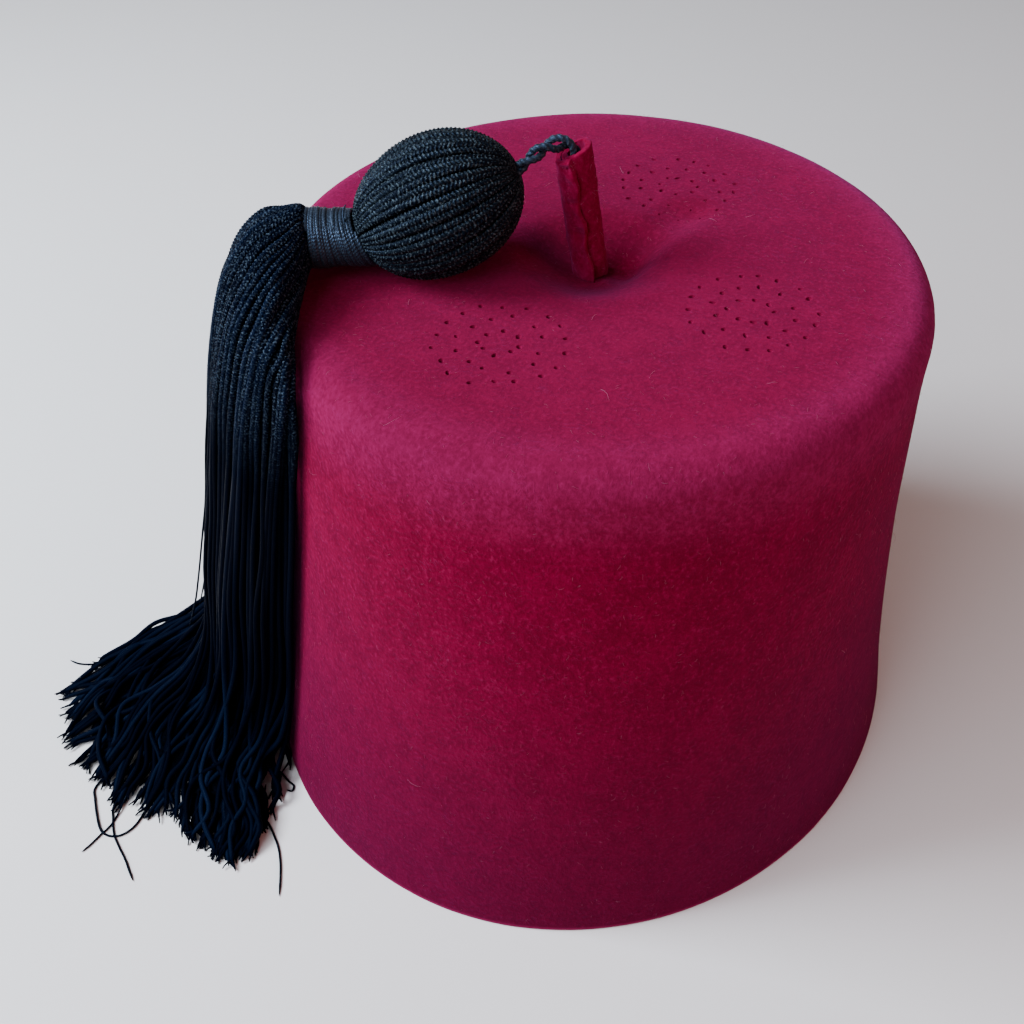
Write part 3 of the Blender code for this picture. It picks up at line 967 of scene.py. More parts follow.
@dataclass
class FeltCrown:
    """The blocked drum of felt, open below, with its dimple, crease and vents."""

    place: HatPlace
    drum: DrumShape
    sides: int = 200
    crease: Table = ((4.2 * MM, -1.5 * MM, 0.0), (9.6 * MM, 32.0 * MM, 0.0))
    crease_width: float = 1.1 * MM
    crease_depth: float = 1.6 * MM
    crease_spread: float = 7.0 * MM
    crease_part: tuple = (0.15, 0.85)
    # x and y from the hat's axis, rise and spread of each swelling, in mm
    swells: Table = ((9.5, -8.5, 0.3, 7.5), (11.0, -1.5, 0.6, 8.5), (12.0, 7.0, 0.5, 8.5),
                     (14.0, 17.0, 0.3, 8.5))
    swell_core: float = 1.6 * MM
    vent_shift: tuple = (1.3 * MM, -1.8 * MM)
    vent_azimuths: tuple = (0.0, 90.0, 180.0, 270.0)
    vent_distance: float = 37.3 * MM
    vent_rings: Table = ((4.2 * MM, 8), (8.8 * MM, 12), (13.2 * MM, 18))
    vent_radius: float = 0.27 * MM
    vent_mouth: float = 0.62 * MM
    vent_mouth_depth: float = 0.85 * MM
    vent_stray: float = 0.45 * MM
    pin_corners: int = 10
    pin_flare: float = 1.22
    pin_widths: tuple = (0.90, 1.25)
    pin_breadths: tuple = (0.70, 1.0)
    pin_heights: tuple = (-0.15 * MM, 0.10 * MM)
    unevenness: float = 0.5 * MM
    unevenness_grain: float = 34.0 * MM
    rim_rounding: float = 0.7 * MM
    rim_segments: int = 3
    sharp_degrees: float = 40.0
    seed: int = 11

    def build(self) -> bpy.types.Object:
        """Return the finished drum."""
        crown = self._raise_drum()
        self._press_crease(crown)
        Bench.settle(crown)
        Bench.roughen(crown, "felt_unevenness", self.unevenness_grain, self.unevenness)
        Bench.modify(crown, "SOLIDIFY", thickness=self.drum.felt, offset=-1.0,
                     use_even_offset=True)
        Bench.modify(crown, "BEVEL", width=self.rim_rounding, segments=self.rim_segments,
                     limit_method="ANGLE", angle_limit=SHARP)
        pins = self._pins()
        Bench.modify(crown, "BOOLEAN", object=pins, operation="DIFFERENCE", solver="EXACT")
        bpy.data.objects.remove(pins)
        self._seat_rim(crown)
        Bench.smooth(crown, self.sharp_degrees)
        Bench.modify(crown, "WEIGHTED_NORMAL", keep_sharp=True)
        return crown

    @staticmethod
    def _seat_rim(crown: bpy.types.Object) -> None:
        """Press the uneven rim flat where it would sink into the surface."""
        Bench.edit(crown)
        if Bench.pick(crown, lambda spot: spot.z < 0.0):
            Bench.scale((1.0, 1.0, 0.0))
        Bench.close()

    def _raise_drum(self) -> bpy.types.Object:
        """Extrude a circle ring by ring up the wall and in over the top."""
        rings = self.drum.rings()
        foot = self.place.about(rings[0].height)
        Bench.clear()
        bpy.ops.mesh.primitive_circle_add(vertices=self.sides, radius=1.0,
                                          fill_type="NOTHING", location=foot)
        crown = bpy.context.object
        crown.name = crown.data.name = "felt_crown"
        Bench.edit(crown)
        Bench.all()
        Bench.scale((rings[0].half_x, rings[0].half_y, 1.0), foot)
        for below, above in zip(rings, rings[1:]):
            Bench.extrude(above.height - below.height)
            Bench.scale((above.half_x / below.half_x, above.half_y / below.half_y, 1.0),
                        self.place.about(above.height))
        bpy.ops.mesh.edge_face_add()
        Bench.face_outwards()
        return crown

    def _press_crease(self, crown: bpy.types.Object) -> None:
        """Press the shallow crease that runs from the dimple towards the back."""
        start, end = (Vector(self.place.about(0.0)) + Vector(spot) for spot in self.crease)
        run = end - start

        def on_crease(spot: Vector) -> bool:
            """Say whether a point lies on the top, near the inner part of the crease's line."""
            flat = Vector((spot.x, spot.y, 0.0)) - start
            share = flat.dot(run) / run.length_squared
            first, last = self.crease_part
            if not first < share < last or spot.z < self.drum.shoulder_height:
                return False
            return (flat - run * share).length < self.crease_width

        if Bench.pick(crown, on_crease):
            Bench.shift((0.0, 0.0, -self.crease_depth), self.crease_spread, False)
        for x, y, rise, spread in self.swells:
            level = self.drum.top_height(math.hypot(x, y) * MM)
            spot = Vector(self.place.about(level)) + Vector((x * MM, y * MM, 0.0))
            Bench.press(crown, spot, Vector(UP) * rise * MM, self.swell_core, spread * MM)
        Bench.close()

    def _pins(self) -> bpy.types.Object:
        """Return the upright pins that cut all vents, as one object."""
        rng = np.random.default_rng(self.seed)
        model = self._pin()
        pins = []
        for azimuth in np.radians(self.vent_azimuths):
            centre = np.array(self.vent_shift) + self.vent_distance * spoke(azimuth)[:2]
            for ring_radius, count in self.vent_rings:
                for step in range(count):
                    angle = azimuth + TURN * (step + 0.5) / count
                    x, y = (centre + ring_radius * spoke(angle)[:2]
                            + rng.normal(0.0, self.vent_stray, 2))
                    pin = show("vent_pin", model.data.copy())
                    wide, narrow = rng.uniform(*self.pin_widths), rng.uniform(*self.pin_breadths)
                    slant = Matrix.Rotation(rng.uniform(0.0, TURN), 4, "Z")
                    pin.data.transform(slant @ Matrix.Diagonal((wide, narrow, 1.0, 1.0)))
                    pin.location = (self.place.axis_x + x, self.place.axis_y + y,
                                    self.drum.height + rng.uniform(*self.pin_heights))
                    pins.append(pin)
        bpy.data.objects.remove(model)
        Bench.take(pins[0])
        for pin in pins:
            pin.select_set(True)
        bpy.ops.object.join()
        return bpy.context.object

    def _pin(self) -> bpy.types.Object:
        """Return one pin, slim below and flared towards the felt's surface."""
        reach, depth = 2.0 * self.drum.felt, self.vent_mouth_depth
        flare = self.vent_mouth / self.vent_radius / self.pin_flare
        Bench.clear()
        bpy.ops.mesh.primitive_circle_add(vertices=self.pin_corners, radius=self.vent_radius,
                                          fill_type="NGON", location=(0.0, 0.0, -reach))
        pin = bpy.context.object
        Bench.settle(pin)
        Bench.edit(pin)
        Bench.all()
        for rise, grow in ((reach - depth, 1.0), (0.55 * depth, self.pin_flare),
                           (0.45 * depth, flare), (0.5 * MM, 1.25)):
            Bench.extrude(rise)
            Bench.scale((grow, grow, 1.0))
        Bench.face_outwards()
        Bench.close()
        return pin


@dataclass
class FeltNap(CordPiece):
    """Loose hairs of wool that stand and lie on the felt."""

    place: HatPlace
    drum: DrumShape
    stem: "RolledStem"
    wall_hairs: int = 2300
    top_hairs: int = 1300
    long_hairs: int = 44
    stem_hairs: int = 150
    gauge: float = 0.020 * MM
    long_gauge: float = 0.024 * MM
    short_lengths: tuple = (0.4, 1.3)
    long_lengths: tuple = (1.5, 3.8)
    stem_lengths: tuple = (0.5, 1.5)
    short_paleness: float = 0.32
    long_paleness: tuple = (0.25, 0.7)
    stem_paleness: tuple = (0.0, 0.12)
    taper: tuple = (1.0, 1.0, 0.85, 0.4)
    arches: tuple = (0.10, 0.30)
    bend: float = 0.35
    wall_slope: float = 0.13
    wall_lie: tuple = (0.75 * TURN, 0.75)
    sunk: float = 0.06 * MM
    seed: int = 23

    def build(self) -> bpy.types.Object:
        """Return all hairs as one object."""
        for index in range(self.wall_hairs + self.top_hairs):
            length = self.rng.uniform(*self.short_lengths) * MM
            shade = self.short_paleness * self.rng.uniform(0.0, 1.0) ** 2
            self._hair(index < self.wall_hairs, length, shade, self.gauge)
        for index in range(self.long_hairs):
            length = self.rng.uniform(*self.long_lengths) * MM
            shade = self.rng.uniform(*self.long_paleness)
            self._hair(index % 2 == 0, length, shade, self.long_gauge)
        for _ in range(self.stem_hairs):
            self._stem_hair()
        return self.mesh.build("felt_nap")

    def _stem_hair(self) -> None:
        """Add one hair that stands out from the stem."""
        rng, stem = self.rng, self.stem
        share = rng.uniform(0.1, 1.0)
        height = mix(stem.foot_height, stem.top_height, share)
        angle = rng.uniform(0.0, TURN)
        heading = spoke(angle)
        root = np.array(stem.middle(share)) + heading * (stem.outer_radius + 0.25 * MM)
        root[2] = min(height, stem.rim(angle, stem.outer_radius) - 0.3 * MM)
        length = rng.uniform(*self.stem_lengths) * MM
        run = unit(heading * 0.55 + rng.normal(0.0, 0.5, 3))
        span = np.linspace(0.0, 1.0, 4)[:, None]
        path = root + (run * span + rng.normal(0.0, 0.2, 3) * span ** 2) * length
        self.mesh.add(path, self.gauge * np.array(self.taper), sides=3,
                      shade=rng.uniform(*self.stem_paleness))

    def _hair(self, on_wall: bool, length: float, shade: float, gauge: float) -> None:
        """Add one hair to the drum.

        Args:
            on_wall: Whether it lies on the wall and not on the top.
            length: Its length.
            shade: How pale it is.
            gauge: Its half thickness.
        """
        rng, drum = self.rng, self.drum
        azimuth = rng.uniform(0.0, TURN)
        outward = spoke(azimuth)
        round_about = np.array((-outward[1], outward[0], 0.0))
        if on_wall:
            height = rng.uniform(1.5 * MM, drum.shoulder_height)
            radius = drum.radius(azimuth, height)
            normal = unit(outward + np.array(UP) * self.wall_slope)
            lie = rng.normal(*self.wall_lie)
            upward = np.cross(normal, round_about)
            heading = (round_about * math.cos(lie)
                       + upward * np.sign(upward[2]) * math.sin(lie))
        else:
            flat = drum.shoulder_radius - drum.edge_rounding
            radius = max(math.sqrt(rng.uniform(0.0, 1.0)) * (drum.shoulder_radius - 0.2 * MM),
                         1.6 * drum.seat_radius)
            tilt = math.asin(max(radius - flat, 0.0) / drum.edge_rounding)
            height = drum.top_height(radius) - drum.edge_rounding * (1.0 - math.cos(tilt))
            normal = outward * math.sin(tilt) + np.array(UP) * math.cos(tilt)
            lie = rng.uniform(0.0, TURN)
            heading = (np.cross(normal, round_about) * math.cos(lie)
                       + round_about * math.sin(lie))
        root = outward * radius + self.place.about(height)
        bend = np.cross(normal, heading) * rng.normal(0.0, self.bend)
        share = np.linspace(0.0, 1.0, 4)[:, None]
        arch = np.sin(math.pi * 0.8 * share) * rng.uniform(*self.arches)
        path = (root + (heading * share + bend * share ** 2) * length
                + normal * (arch * length - self.sunk))
        self.mesh.add(path, gauge * np.array(self.taper), sides=3,
                      face=np.tile(normal, (4, 1)), shade=shade)


@dataclass
class RolledStem:
    """The strip of felt rolled round the cord, leaning towards the tassel."""

    place: HatPlace
    foot_height: float = 131.3 * MM
    top_height: float = 160.7 * MM
    foot_reach: float = 0.7 * MM
    lean: float = 4.6 * MM
    top_slope: float = -0.48
    hole_radius: float = 1.25 * MM
    felt: float = 1.35 * MM
    gap: float = 0.12 * MM
    turns: float = 1.46
    seam: float = math.radians(301.0)
    seam_drift: float = math.radians(14.0)
    steps: int = 44
    levels: int = 18
    # share of the height, outward and sideways move of the free edge in mm
    lifts: Table = ((0.97, 0.2, -0.5), (0.80, 0.35, 0.5), (0.62, 0.0, -0.6),
                    (0.47, 0.4, 0.4), (0.30, 0.0, -0.4), (0.12, 0.3, 0.5))
    # share of the height, degrees beside the free edge, depth in mm
    hollows: Table = ((0.90, -22.0, 1.3), (0.78, -30.0, 1.1), (0.66, -20.0, 1.3),
                      (0.53, -27.0, 0.9), (0.40, -18.0, 1.0), (0.24, -24.0, 0.7))
    # how near the moved vertices lie, and how far the move spreads
    lift_reach: tuple = (1.3 * MM, 3.6 * MM)
    hollow_reach: tuple = (1.0 * MM, 2.0 * MM)
    cut_rounding: float = 0.25 * MM
    # name, grain and depth of what makes the surface uneven
    clouds: tuple = (("stem_lumps", 2.6 * MM, 0.75 * MM), ("stem_fluff", 0.8 * MM, 0.26 * MM))
    sharp_degrees: float = 60.0

    def build(self) -> bpy.types.Object:
        """Return the finished stem."""
        stem = self._roll_strip()
        self._lean_and_drift(stem)
        self._lift_seam(stem)
        Bench.close()
        Bench.settle(stem)
        Bench.modify(stem, "SOLIDIFY", thickness=self.felt, offset=0.0, use_even_offset=True)
        Bench.modify(stem, "BEVEL", width=self.cut_rounding, segments=2,
                     limit_method="ANGLE", angle_limit=SHARP)
        Bench.modify(stem, "SUBSURF", levels=1, render_levels=1)
        for name, grain, depth in self.clouds:
            Bench.roughen(stem, name, grain, depth)
        Bench.smooth(stem, self.sharp_degrees)
        return stem

    @property
    def outer_radius(self) -> float:
        """Return how far the free edge's felt lies from the roll's middle."""
        return self.hole_radius + self.felt / 2.0 + (self.felt + self.gap) * self.turns

    def middle(self, share: float) -> Vector:
        """Return the middle of the leaning roll at a share of its height."""
        return self.place.point(self.foot_reach + self.lean * share, 0.0,
                                mix(self.foot_height, self.top_height, share))

    def rim(self, angle: float, radius: float) -> float:
        """Return the height of the cut top over a place of the roll."""
        turned = angle - self.seam_drift / 2.0 - self.place.azimuth
        return self.top_height + self.top_slope * radius * math.cos(turned)

    def _roll_strip(self) -> bpy.types.Object:
        """Stand a narrow strip upright and extrude its edge round and round."""
        stride = TURN * self.turns / self.steps
        first = self.seam - TURN * self.turns
        inner = self.hole_radius + self.felt / 2.0
        radii = [inner + (self.felt + self.gap) * self.turns * step / self.steps
                 for step in range(self.steps + 1)]
        tall = [self.rim(first + stride * step, radius) - self.foot_height
                for step, radius in enumerate(radii)]
        axis = self.middle(0.0)
        Bench.clear()
        bpy.ops.mesh.primitive_grid_add(
            x_subdivisions=1, y_subdivisions=self.levels, size=1.0,
            location=axis, rotation=(RIGHT_ANGLE, 0.0, 0.0))
        stem = bpy.context.object
        stem.name = stem.data.name = "rolled_stem"
        Bench.settle(stem)
        width = stride * radii[0]
        Bench.edit(stem)
        Bench.all()
        bpy.ops.transform.translate(value=(0.5, 0.0, 0.5))
        Bench.scale((width, 1.0, tall[0]), axis)
        bpy.ops.transform.translate(value=(-width, -radii[0], 0.0))
        Bench.turn(first + RIGHT_ANGLE, axis)
        tangent = Vector(spoke(first + RIGHT_ANGLE))
        Bench.pick(stem, lambda spot: (spot - axis).dot(tangent) > -0.5 * width)
        for step in range(self.steps):
            grow = radii[step + 1] / radii[step]
            Bench.extrude(0.0)
            Bench.turn(stride, axis)
            Bench.scale((grow, grow, tall[step + 1] / tall[step]), axis)
        return stem

    def _lean_and_drift(self, stem: bpy.types.Object) -> None:
        """Lean the roll towards the tassel and let its seam drift round as it goes down."""
        mesh = bmesh.from_edit_mesh(stem.data)
        for vertex in mesh.verts:
            share = (vertex.co.z - self.foot_height) / (self.top_height - self.foot_height)
            turn = Matrix.Rotation(self.seam_drift * (0.5 - share), 3, "Z")
            upright = Vector((*self.middle(0.0).xy, vertex.co.z))
            leaning = Vector((*self.middle(share).xy, vertex.co.z))
            vertex.co = leaning + turn @ (vertex.co - upright)
        bmesh.update_edit_mesh(stem.data)

    def _lift_seam(self, stem: bpy.types.Object) -> None:
        """Let the free edge gape in places and press small hollows beside it."""
        for share, lift, slide in self.lifts:
            spot, heading = self._beside_seam(share, 0.0)
            tangent = Vector((-heading.y, heading.x, 0.0))
            Bench.press(stem, spot, (heading * lift + tangent * slide) * MM, *self.lift_reach)
        for share, beside, depth in self.hollows:
            spot, heading = self._beside_seam(share, math.radians(beside))
            Bench.press(stem, spot, heading * (-depth * MM), *self.hollow_reach)

    def _beside_seam(self, share: float, beside: float) -> tuple[Vector, Vector]:
        """Return a place on the roll's outside and its outward direction.

        Args:
            share: Its share of the height.
            beside: Its angle from the free edge.

        Returns:
            The place and the direction.
        """
        heading = Vector(spoke(self.seam + self.seam_drift * (0.5 - share) + beside))
        return self.middle(share) + heading * self.outer_radius, heading


# --- The tassel


@dataclass(frozen=True)
class HeadShape:
    """The tassel's round head: an egg on a tilted axis, resting on the top."""

    place: HatPlace
    drum: DrumShape
    reach: float = 33.6 * MM
    side: float = 3.5 * MM
    radius: float = 14.5 * MM
    ridge: float = 0.35 * MM
    half_length: float = 17.4 * MM
    cord_axis: float = 17.6 * MM
    neck_axis: float = 18.5 * MM
    tilt: float = math.radians(22.0)
    gap: float = 0.3 * MM

    @property
    def height(self) -> float:
        """Return the height of the head's middle."""
        along = self.half_length * math.sin(self.tilt)
        across = (self.radius + self.ridge) * math.cos(self.tilt)
        return self.drum.height + self.gap + math.hypot(along, across)

    def on_axis(self, along: float) -> np.ndarray:
        """Return the point of the tilted axis at a distance from the head's middle."""
        return self.point(np.array([along]), np.zeros(1), np.zeros(1))[0]

    def point(self, along: np.ndarray, radius: np.ndarray, angle: np.ndarray) -> np.ndarray:
        """Return points from their place along the tilted axis and round it."""
        lift = radius * np.cos(angle)
        reach = self.reach + along * math.cos(self.tilt) + lift * math.sin(self.tilt)
        height = self.height - along * math.sin(self.tilt) + lift * math.cos(self.tilt)
        side = self.side + radius * np.sin(angle)
        return self.place.points(np.column_stack((reach, side, height)))


@dataclass
class TasselHead(CordPiece):
    """The cords that cover the round head, from the loop cord to the neck."""

    shape: HeadShape
    cords: int = 54
    gauge: float = 0.80 * MM
    least_gauge: float = 0.3 * MM
    breadths: tuple = (0.24 * MM, 1.02 * MM)
    relief: float = 0.20
    ply: float = 0.32
    drift: float = 0.05
    row: float = 0.25 * MM
    rows: int = 90
    sides: int = 8
    lay: float = 1.7 * MM
    seed: int = 31

    def build(self) -> bpy.types.Object:
        """Return the head's cords as one object."""
        rng, shape = self.rng, self.shape
        sweep = np.linspace(math.asin(0.10),
                            math.pi - math.acos(shape.half_length / shape.neck_axis), self.rows)
        half_axis = np.where(np.cos(sweep) > 0.0, shape.cord_axis, shape.neck_axis)
        along = -half_axis * np.cos(sweep)
        for index, (place, sink) in enumerate(self._layout()):
            wobble = rng.normal(0.0, 0.012) * np.sin(sweep * 2.0)
            angle = place + wobble + self.drift * (sweep / math.pi - 0.5)
            radius = (shape.radius + shape.ridge - self.gauge - sink) * np.sin(sweep)
            line = shape.point(along, radius, angle)
            stations = np.arange(0.0, run_of(line)[-1], self.row)
            path = walk(line, stations)
            middle = walk(shape.point(along, np.zeros_like(along), angle), stations, line)
            ring = np.interp(stations, run_of(line), radius)
            breadth = np.clip(0.60 * TURN * ring / self.cords, *self.breadths)
            gauge = np.clip(self.gauge * (0.45 + 0.55 * ring / shape.radius),
                            self.least_gauge, self.gauge)
            self.mesh.add(path, rounded_ends(gauge), self.sides, rounded_ends(breadth),
                          unit(path - middle), np.full(len(path), self.relief),
                          Twist.of(index), rng.uniform(0.1, 0.9), self.ply)
        return self.mesh.build("head_cords")

    def _layout(self) -> list[tuple[float, float]]:
        """Return each cord's angle round the head and how deep it is sunk.

        The cords lie in small groups with a furrow between two groups.
        """
        places = []
        while len(places) < self.cords:
            first = len(places)
            size = min(int(self.rng.integers(3, 6)), self.cords - first)
            centre = first + (size - 1) / 2.0
            for place in range(first, first + size):
                gathered = centre + (place - centre) * 0.90
                edge = abs(place - centre) / max((size - 1) / 2.0, 1.0)
                sink = 0.30 * edge ** 2 + self.rng.uniform(0.0, 0.16)
                places.append((TURN * gathered / self.cords, sink * MM))
        return places


@dataclass
class NeckThread(CordPiece):
    """The thread wound round the tassel's neck."""

    shape: HeadShape
    end_reach: float = 61.4 * MM
    end_height: float = 145.3 * MM
    radius: float = 6.2 * MM
    turns: int = 17
    # first and last share of the neck, and turns, of the windings that cross the others
    crossings: Table = ((0.10, 0.42, 3), (0.88, 0.60, 2))
    crossing_lift: float = 0.24 * MM
    # share of the neck, angle round it and distance from its surface in mm of the cut end
    tail: Table = ((0.14, 0.55, -0.2), (0.12, 0.35, 0.6), (0.08, 0.20, 1.3),
                   (0.03, 0.10, 1.9), (-0.02, 0.05, 2.3))
    tail_gauges: tuple = (0.30 * MM, 0.12 * MM)
    tail_shade: float = 0.7
    first_angle: float = 0.8
    # the neck's thread is kept light: painted light, together with its lighter finish
    shade: float = 0.72
    gauge: float = 0.44 * MM
    breadth: float = 1.18
    stir: float = 0.10 * MM
    slip: float = 0.15
    flare: float = 0.05
    ply: float = 0.32
    steps_a_turn: int = 30
    lay: float = 1.4 * MM
    seed: int = 41

    def build(self) -> bpy.types.Object:
        """Return the wound thread as one object."""
        self._wind(0.0, 1.0, self.turns, 0.0)
        for start, end, turns in self.crossings:
            self._wind(start, end, turns, self.crossing_lift)
        share, angle, away = np.array(self.tail).T
        line = smooth_line(self._around(share, self.radius + away * MM, angle)[0], 5)
        self.mesh.add(line, np.linspace(*self.tail_gauges, len(line)), 5,
                      shade=self.tail_shade)
        return self.mesh.build("neck_thread")

    def _around(self, share: np.ndarray, radius: np.ndarray, angle: np.ndarray) -> tuple:
        """Return points on the neck and their outward directions."""
        shape = self.shape
        start = shape.on_axis(shape.half_length + 0.2 * MM)
        end = shape.place.point(self.end_reach, shape.side, self.end_height)
        middle = start + (np.array(end) - start) * share[:, None]
        tilt = shape.tilt * (1.0 - smoothstep(share))
        lift = np.cos(angle)
        outward = shape.place.turned(np.column_stack((
            lift * np.sin(tilt), np.sin(angle), lift * np.cos(tilt))))
        return middle + outward * radius[:, None], outward

    def _wind(self, start: float, end: float, turns: int, lift: float) -> None:
        """Wind some turns from one share of the neck to another.

        Args:
            start: The share at which the winding starts.
            end: The share at which it ends.
            turns: How many turns it makes.
            lift: How far it lies outside the first winding.
        """
        place = np.linspace(0.0, 1.0, turns * self.steps_a_turn + 1)
        knots = self.rng.normal(0.0, 1.0, (2, turns * 2 + 2))
        slip, height = (np.interp(place, np.linspace(0.0, 1.0, turns * 2 + 2), row)
                        for row in knots)
        share = np.clip(start + (end - start) * (place + slip * self.slip / turns), 0.0, 1.0)
        waist = 1.0 + self.flare * (2.0 * share - 1.0) ** 2
        radius = (self.radius - self.gauge) * waist + lift + height * self.stir
        path, outward = self._around(share, radius, TURN * turns * place + self.first_angle)
        gauge = rounded_ends(np.full(len(place), self.gauge))
        self.mesh.add(path, gauge, breadth=gauge * self.breadth, face=outward,
                      shade=self.shade, ply=self.ply)


@dataclass
class LoopCord(CordPiece):
    """The twisted pair that comes out of the stem and holds the head."""

    shape: HeadShape
    # reach, side and height in mm
    route: Table = ((4.1, 0.0, 153.0), (4.75, 0.0, 157.0), (5.35, 0.1, 160.3),
                    (7.4, 0.6, 162.3), (10.5, 1.5, 162.4), (13.6, 2.5, 161.2))
    # share of the way, and how far each strand then lies from the middle in mm
    openness: Table = ((0.0, 0.62), (0.25, 0.66), (0.42, 0.95), (0.60, 1.15), (0.78, 0.78),
                       (1.0, 0.60))
    # how far round each strand starts, and its lightness
    strands: Table = ((0.0, 0.45), (math.pi, 0.6))
    gauge: float = 0.78 * MM
    relief: float = 0.10
    ply: float = 0.35
    row: float = 0.22 * MM
    twist_start: float = 0.6
    twist_turns: float = 2.1
    lay: float = 2.6 * MM

    def build(self) -> bpy.types.Object:
        """Return both strands as one object."""
        head = self.shape.on_axis(1.0 * MM - self.shape.half_length)
        route = self.shape.place.points(np.array(self.route) * MM)
        line = smooth_line(np.vstack((route, head)), 16)
        stations = np.arange(0.0, run_of(line)[-1], self.row)
        middle = walk(line, stations)
        share = stations / stations[-1]
        tangent = unit(np.gradient(middle, axis=0))
        outward = transported(tangent)
        across = np.cross(tangent, outward)
        apart = np.interp(share, *np.array(self.openness).T)[:, None] * MM
        turn = TURN * (self.twist_start + self.twist_turns * share ** 1.35)[:, None]
        gauge = rounded_ends(np.full(len(middle), self.gauge))
        for start, shade in self.strands:
            spread = outward * np.cos(turn + start) + across * np.sin(turn + start)
            self.mesh.add(middle + spread * apart, gauge, 10,
                          relief=np.full(len(middle), self.relief), shade=shade, ply=self.ply)
        return self.mesh.build("loop_cord_strands")


class BundleSection(NamedTuple):
    """One section of the hanging bundle, between a line on the felt and one outside it."""

    inner_reach: float
    inner_height: float
    outer_reach: float
    outer_height: float
    middle: float
    half_width: float
    widest: float
    hug: float


class FanTip(NamedTuple):
    """Where a lock of the fringe ends on the surface."""

    share: float
    reach: float
    side: float
    spread: float


class SkirtLayer(NamedTuple):
    """One layer of cords: how far out it hangs and how many cords it has."""

    hold: float
    cords: int
    rank: float
    sides: int
    fine: float


@dataclass
class TasselSkirt(CordPiece):
    """The fringe: cords that fall over the edge and fan out on the surface."""

    place: HatPlace
    drum: DrumShape
    clearance: float = 0.6 * MM
    round_section: float = 0.5
    dome_section: float = 0.14
    gauge: float = 0.80 * MM
    neck_gauge: float = 0.42 * MM
    lay: float = 1.6 * MM
    relief: float = 0.15
    fine_row: float = 0.25 * MM
    middle_row: float = 2.0 * MM
    coarse_row: float = 1.5 * MM
    fine_length: float = 74.0 * MM
    seed: int = 53
    # inner reach, inner height, outer reach, outer height, middle and half width in mm
    edge_rows: Table = (
        (61.4, 139.8, 61.6, 151.1, 3.3, 5.5), (62.6, 139.4, 63.1, 152.2, 3.5, 7.3),
        (65.2, 138.2, 66.4, 151.5, 4.8, 12.3), (69.5, 137.0, 72.4, 149.5, 7.1, 20.6),
        (73.0, 134.0, 78.2, 143.8, 10.2, 26.2), (74.4, 129.6, 82.7, 134.9, 11.0, 28.0))
    # height, thickness, middle and half width in mm
    wall_rows: Table = (
        (117.0, 13.7, 10.1, 27.6), (99.5, 16.2, 9.5, 26.5), (80.0, 18.5, 9.5, 26.0),
        (58.0, 20.9, 9.5, 26.0), (36.0, 22.6, 10.0, 26.5))
    layers: tuple = tuple(SkirtLayer(*row) for row in (
        (0.985, 46, 1.0, 8, 1.0), (0.87, 42, 0.78, 6, 0.0), (0.74, 38, 0.5, 6, 0.0),
        (0.60, 32, 0.2, 6, 0.0)))
    tips: tuple = tuple(FanTip(*row) for row in (
        (0.00, 135.0, -10.0, 2.6), (0.06, 142.5, -3.6, 2.6), (0.12, 149.5, 2.6, 2.8),
        (0.18, 156.5, 11.2, 2.6), (0.24, 154.5, 18.3, 2.2), (0.31, 152.0, 27.0, 2.2),
        (0.38, 147.3, 35.6, 2.2), (0.45, 140.0, 41.5, 3.0), (0.52, 133.0, 49.0, 3.0),
        (0.59, 125.5, 52.0, 3.2), (0.66, 118.0, 54.5, 3.2), (0.72, 112.8, 61.0, 2.4),
        (0.78, 108.0, 63.2, 2.2), (0.84, 102.8, 67.2, 2.2), (0.90, 99.4, 69.6, 2.2),
        (0.945, 93.6, 69.0, 2.2), (0.965, 91.5, 60.5, 2.0), (0.982, 89.0, 51.5, 2.2),
        (1.00, 85.8, 43.6, 2.4)))
    # reach and side in mm of the points that each cord lying on top of the fan passes
    accents: tuple = (
        ((97.0, 14.0), (96.2, 24.7), (95.6, 34.0), (96.4, 41.3), (99.2, 48.4), (103.4, 52.0),
         (108.0, 52.4)),
        ((99.0, 16.0), (98.2, 27.0), (97.6, 36.0), (99.0, 43.0), (102.4, 48.6), (106.6, 50.8)),
        ((108.5, 8.0), (110.7, 17.0), (112.3, 26.2), (112.9, 33.6), (115.1, 41.5)),
        ((124.0, -2.0), (128.5, 2.6), (132.8, 12.1), (134.7, 21.4), (135.8, 29.0)),
        ((122.5, 8.0), (126.1, 17.4), (125.6, 28.2), (121.7, 37.3), (120.3, 45.5)),
        ((101.0, 21.0), (104.5, 30.5), (108.0, 37.6), (113.1, 46.0)),
        ((138.0, 9.0), (142.5, 17.7), (138.5, 24.9), (136.7, 33.0)),
        ((113.5, -4.0), (113.3, 5.2), (113.5, 18.1), (117.9, 32.4)),
        ((116.0, -2.0), (117.0, 8.0), (118.6, 20.0), (124.0, 33.0)),
        ((98.5, 22.0), (101.1, 33.0), (102.8, 42.0), (101.0, 52.0)),
        ((134.0, 14.0), (138.6, 24.0), (139.4, 33.0), (136.0, 41.0)))
    # the locks on the wall: how far cords go round the bundle, and how they gather
    neck_wrap: float = math.radians(150.0)
    wall_wrap: float = math.radians(99.0)
    lock_waves: float = 13.0
    # where the waves start, and their drift from section to section and layer to layer
    lock_drift: tuple = (0.9, 0.42, 1.7)
    lock_pull: float = 0.030
    lock_valley: float = 0.09
    stir: float = 0.010
    outermost: float = 0.995
    # the fan: the shares at its two ends, its bulge and first heading, its bends
    far_share: float = 0.10
    near_share: float = 0.92
    bulge: float = 0.30
    first_heading: tuple = (0.95, -0.10)
    bends: tuple = (0.14, 0.34, 0.56, 0.78)
    # the frayed ends
    strands: int = 3
    strand_rows: int = 8
    strand_root: float = 3.0 * MM

